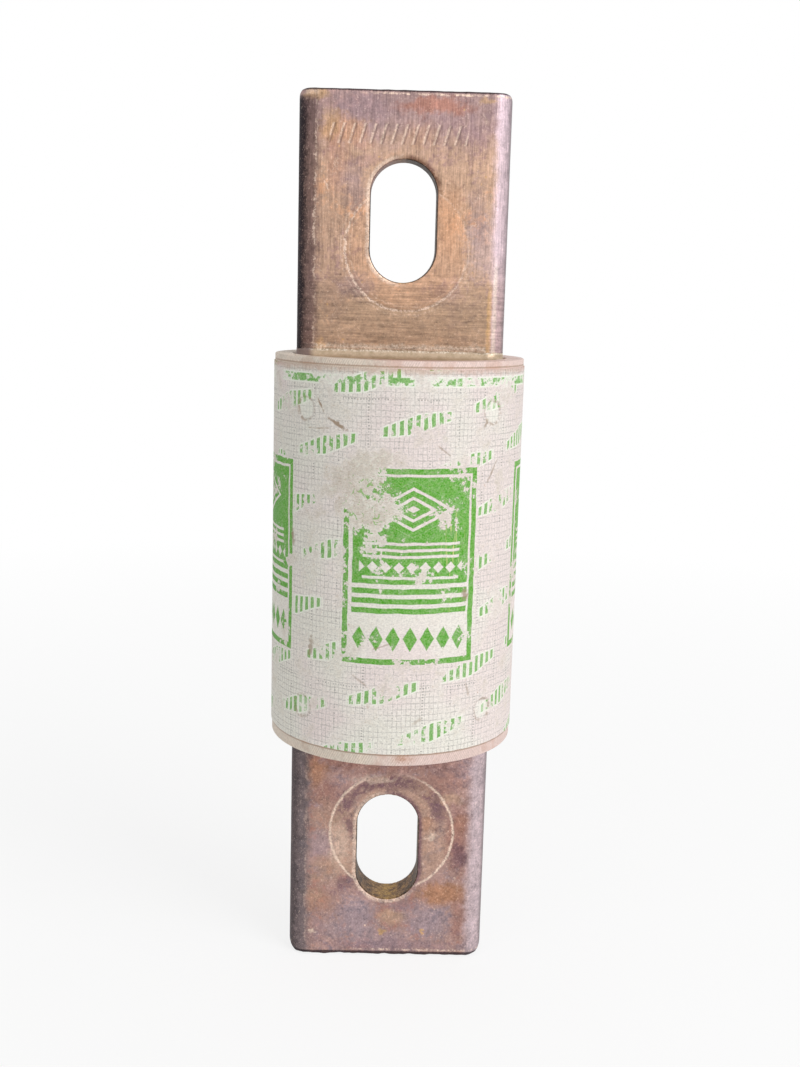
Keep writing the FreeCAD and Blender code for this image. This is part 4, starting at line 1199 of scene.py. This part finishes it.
class FUSE_OT_stage(bpy.types.Operator):
    """Lays a pale floor under the fuse, and sets soft lamps and the photograph's camera"""

    bl_idname = "fuse.stage"
    bl_label = "Stage"

    def execute(self, context):
        scene = context.scene
        bm = bmesh.new()
        bmesh.ops.create_grid(bm, x_segments=2, y_segments=2, size=6)
        bmesh.ops.translate(bm, vec=(0, 0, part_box("lower_blade")[0].z), verts=bm.verts)
        mesh = bpy.data.meshes.new("floor")
        bm.to_mesh(mesh)
        bm.free()
        floor = bpy.data.objects.new("floor", mesh)
        scene.collection.objects.link(floor)
        mesh.materials.append(self.floor_material(scene.fuse_colours))
        self.light_world(scene)
        self.lamp("key_lamp", 48, 32, 1.0, 0.55, 5.4)
        self.lamp("fill_lamp", -40, 15, 1.1, 0.8, 1.0)
        self.set_camera(scene)
        scene.view_settings.view_transform = "Standard"
        return {"FINISHED"}

    def seen_rays(self, tree):
        """1 where the camera, a reflection or a clear piece looks, and 0 for light on the fuse."""
        rays = add(tree, "LightPath", out=None)
        seen = add(tree, "Math", rays["Is Camera Ray"], rays["Is Glossy Ray"], operation="ADD")
        return add(tree, "Math", seen, rays["Is Transmission Ray"], operation="ADD", use_clamp=True)

    def floor_material(self, colours):
        """A matt pale floor that glows for the camera, and is lost in the background but for shadows."""
        material = bpy.data.materials.new("matt_floor")
        material.use_nodes = True
        tree = material.node_tree
        shader = tree.nodes["Principled BSDF"]
        fill(tree, shader, {"Base Color": colours.floor, "Roughness": 0.9})
        # The glow rises from 0.8 by the fuse to 1 at 0.6 m, so that no horizon shows.
        far = add(tree, "VectorMath", add(tree, "TexCoord", out="Object"), operation="LENGTH", out="Value")
        seen = mask(tree, self.seen_rays(tree), add(tree, "MapRange", far, 0.13, 0.6, 0.8, 1.0))
        glow = add(tree, "Emission", (1, 1, 1, 1), 1.0)
        mixed = add(tree, "MixShader", seen, shader.outputs[0], glow)
        tree.links.new(mixed, tree.nodes["Material Output"].inputs["Surface"])
        return material

    def light_world(self, scene):
        """Plain soft light all round, and white where the camera or a reflection looks past the fuse."""
        world = bpy.data.worlds.new("studio")
        world.use_nodes = True
        tree = world.node_tree
        level = add(tree, "MapRange", self.seen_rays(tree), 0, 1, 0.54, 1.0)
        fill(tree, tree.nodes["Background"], {"Color": (1, 1, 1, 1), "Strength": level})
        scene.world = world

    def lamp(self, name, azimuth, elevation, distance, size, power):
        """A square soft lamp that faces the fuse's middle, placed by degrees and metres; power in watts."""
        light = bpy.data.lights.new(name, "AREA")
        light.shape = "SQUARE"
        light.size = size
        light.energy = power
        lamp = bpy.data.objects.new(name, light)
        bpy.context.scene.collection.objects.link(lamp)
        tilt = math.radians(elevation)
        lamp.location = around(math.radians(azimuth), distance * math.cos(tilt), distance * math.sin(tilt))
        lamp.rotation_euler = (-lamp.location).to_track_quat("-Z", "Y").to_euler()

    def set_camera(self, scene):
        """The photograph's camera: 44.29 mm on a 36 mm long side, 0.33 m in front of the fuse."""
        data = bpy.data.cameras.new("camera")
        data.lens = CAMERA_LENS
        data.sensor_width = 36
        data.clip_start = 0.01
        camera = bpy.data.objects.new("camera", data)
        scene.collection.objects.link(camera)
        ahead = Vector((
            -math.sin(CAMERA_YAW) * math.cos(CAMERA_PITCH),
            math.cos(CAMERA_YAW) * math.cos(CAMERA_PITCH),
            math.sin(CAMERA_PITCH),
        ))
        level = Vector((math.cos(CAMERA_YAW), math.sin(CAMERA_YAW), 0))
        upright = level.cross(ahead)
        right = level * math.cos(CAMERA_ROLL) + upright * math.sin(CAMERA_ROLL)
        up = upright * math.cos(CAMERA_ROLL) - level * math.sin(CAMERA_ROLL)
        turned = Matrix((right, up, -ahead)).transposed().to_4x4()
        camera.matrix_world = Matrix.Translation(CAMERA_PLACE) @ turned
        scene.camera = camera


class FUSE_PT_panel(bpy.types.Panel):
    """Lists the fuse's operators, sizes and colours"""

    bl_idname = "FUSE_PT_panel"
    bl_label = "Fuse"
    bl_space_type = "VIEW_3D"
    bl_region_type = "UI"
    bl_category = "Fuse"

    def draw(self, context):
        for operator in OPERATORS:
            self.layout.operator(operator.bl_idname)
        for group in (context.scene.fuse_sizes, context.scene.fuse_colours):
            column = self.layout.column()
            for name in group.bl_rna.properties.keys():
                if name not in ("rna_type", "name"):
                    column.prop(group, name)


OPERATORS = (FUSE_OT_tube, FUSE_OT_label, FUSE_OT_blades, FUSE_OT_braze, FUSE_OT_inner_parts, FUSE_OT_stage)
CLASSES = (FuseSizes, FuseColours, *OPERATORS, FUSE_PT_panel)


def register():
    for item in CLASSES:
        bpy.utils.register_class(item)
    bpy.types.Scene.fuse_sizes = bpy.props.PointerProperty(type=FuseSizes)
    bpy.types.Scene.fuse_colours = bpy.props.PointerProperty(type=FuseColours)


def unregister():
    del bpy.types.Scene.fuse_colours
    del bpy.types.Scene.fuse_sizes
    for item in reversed(CLASSES):
        bpy.utils.unregister_class(item)


def main():
    """Registers the classes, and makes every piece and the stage."""
    register()
    bpy.ops.fuse.tube()
    bpy.ops.fuse.label()
    bpy.ops.fuse.blades()
    bpy.ops.fuse.braze()
    bpy.ops.fuse.inner_parts()
    bpy.ops.fuse.stage()


if __name__ == "__main__":
    main()
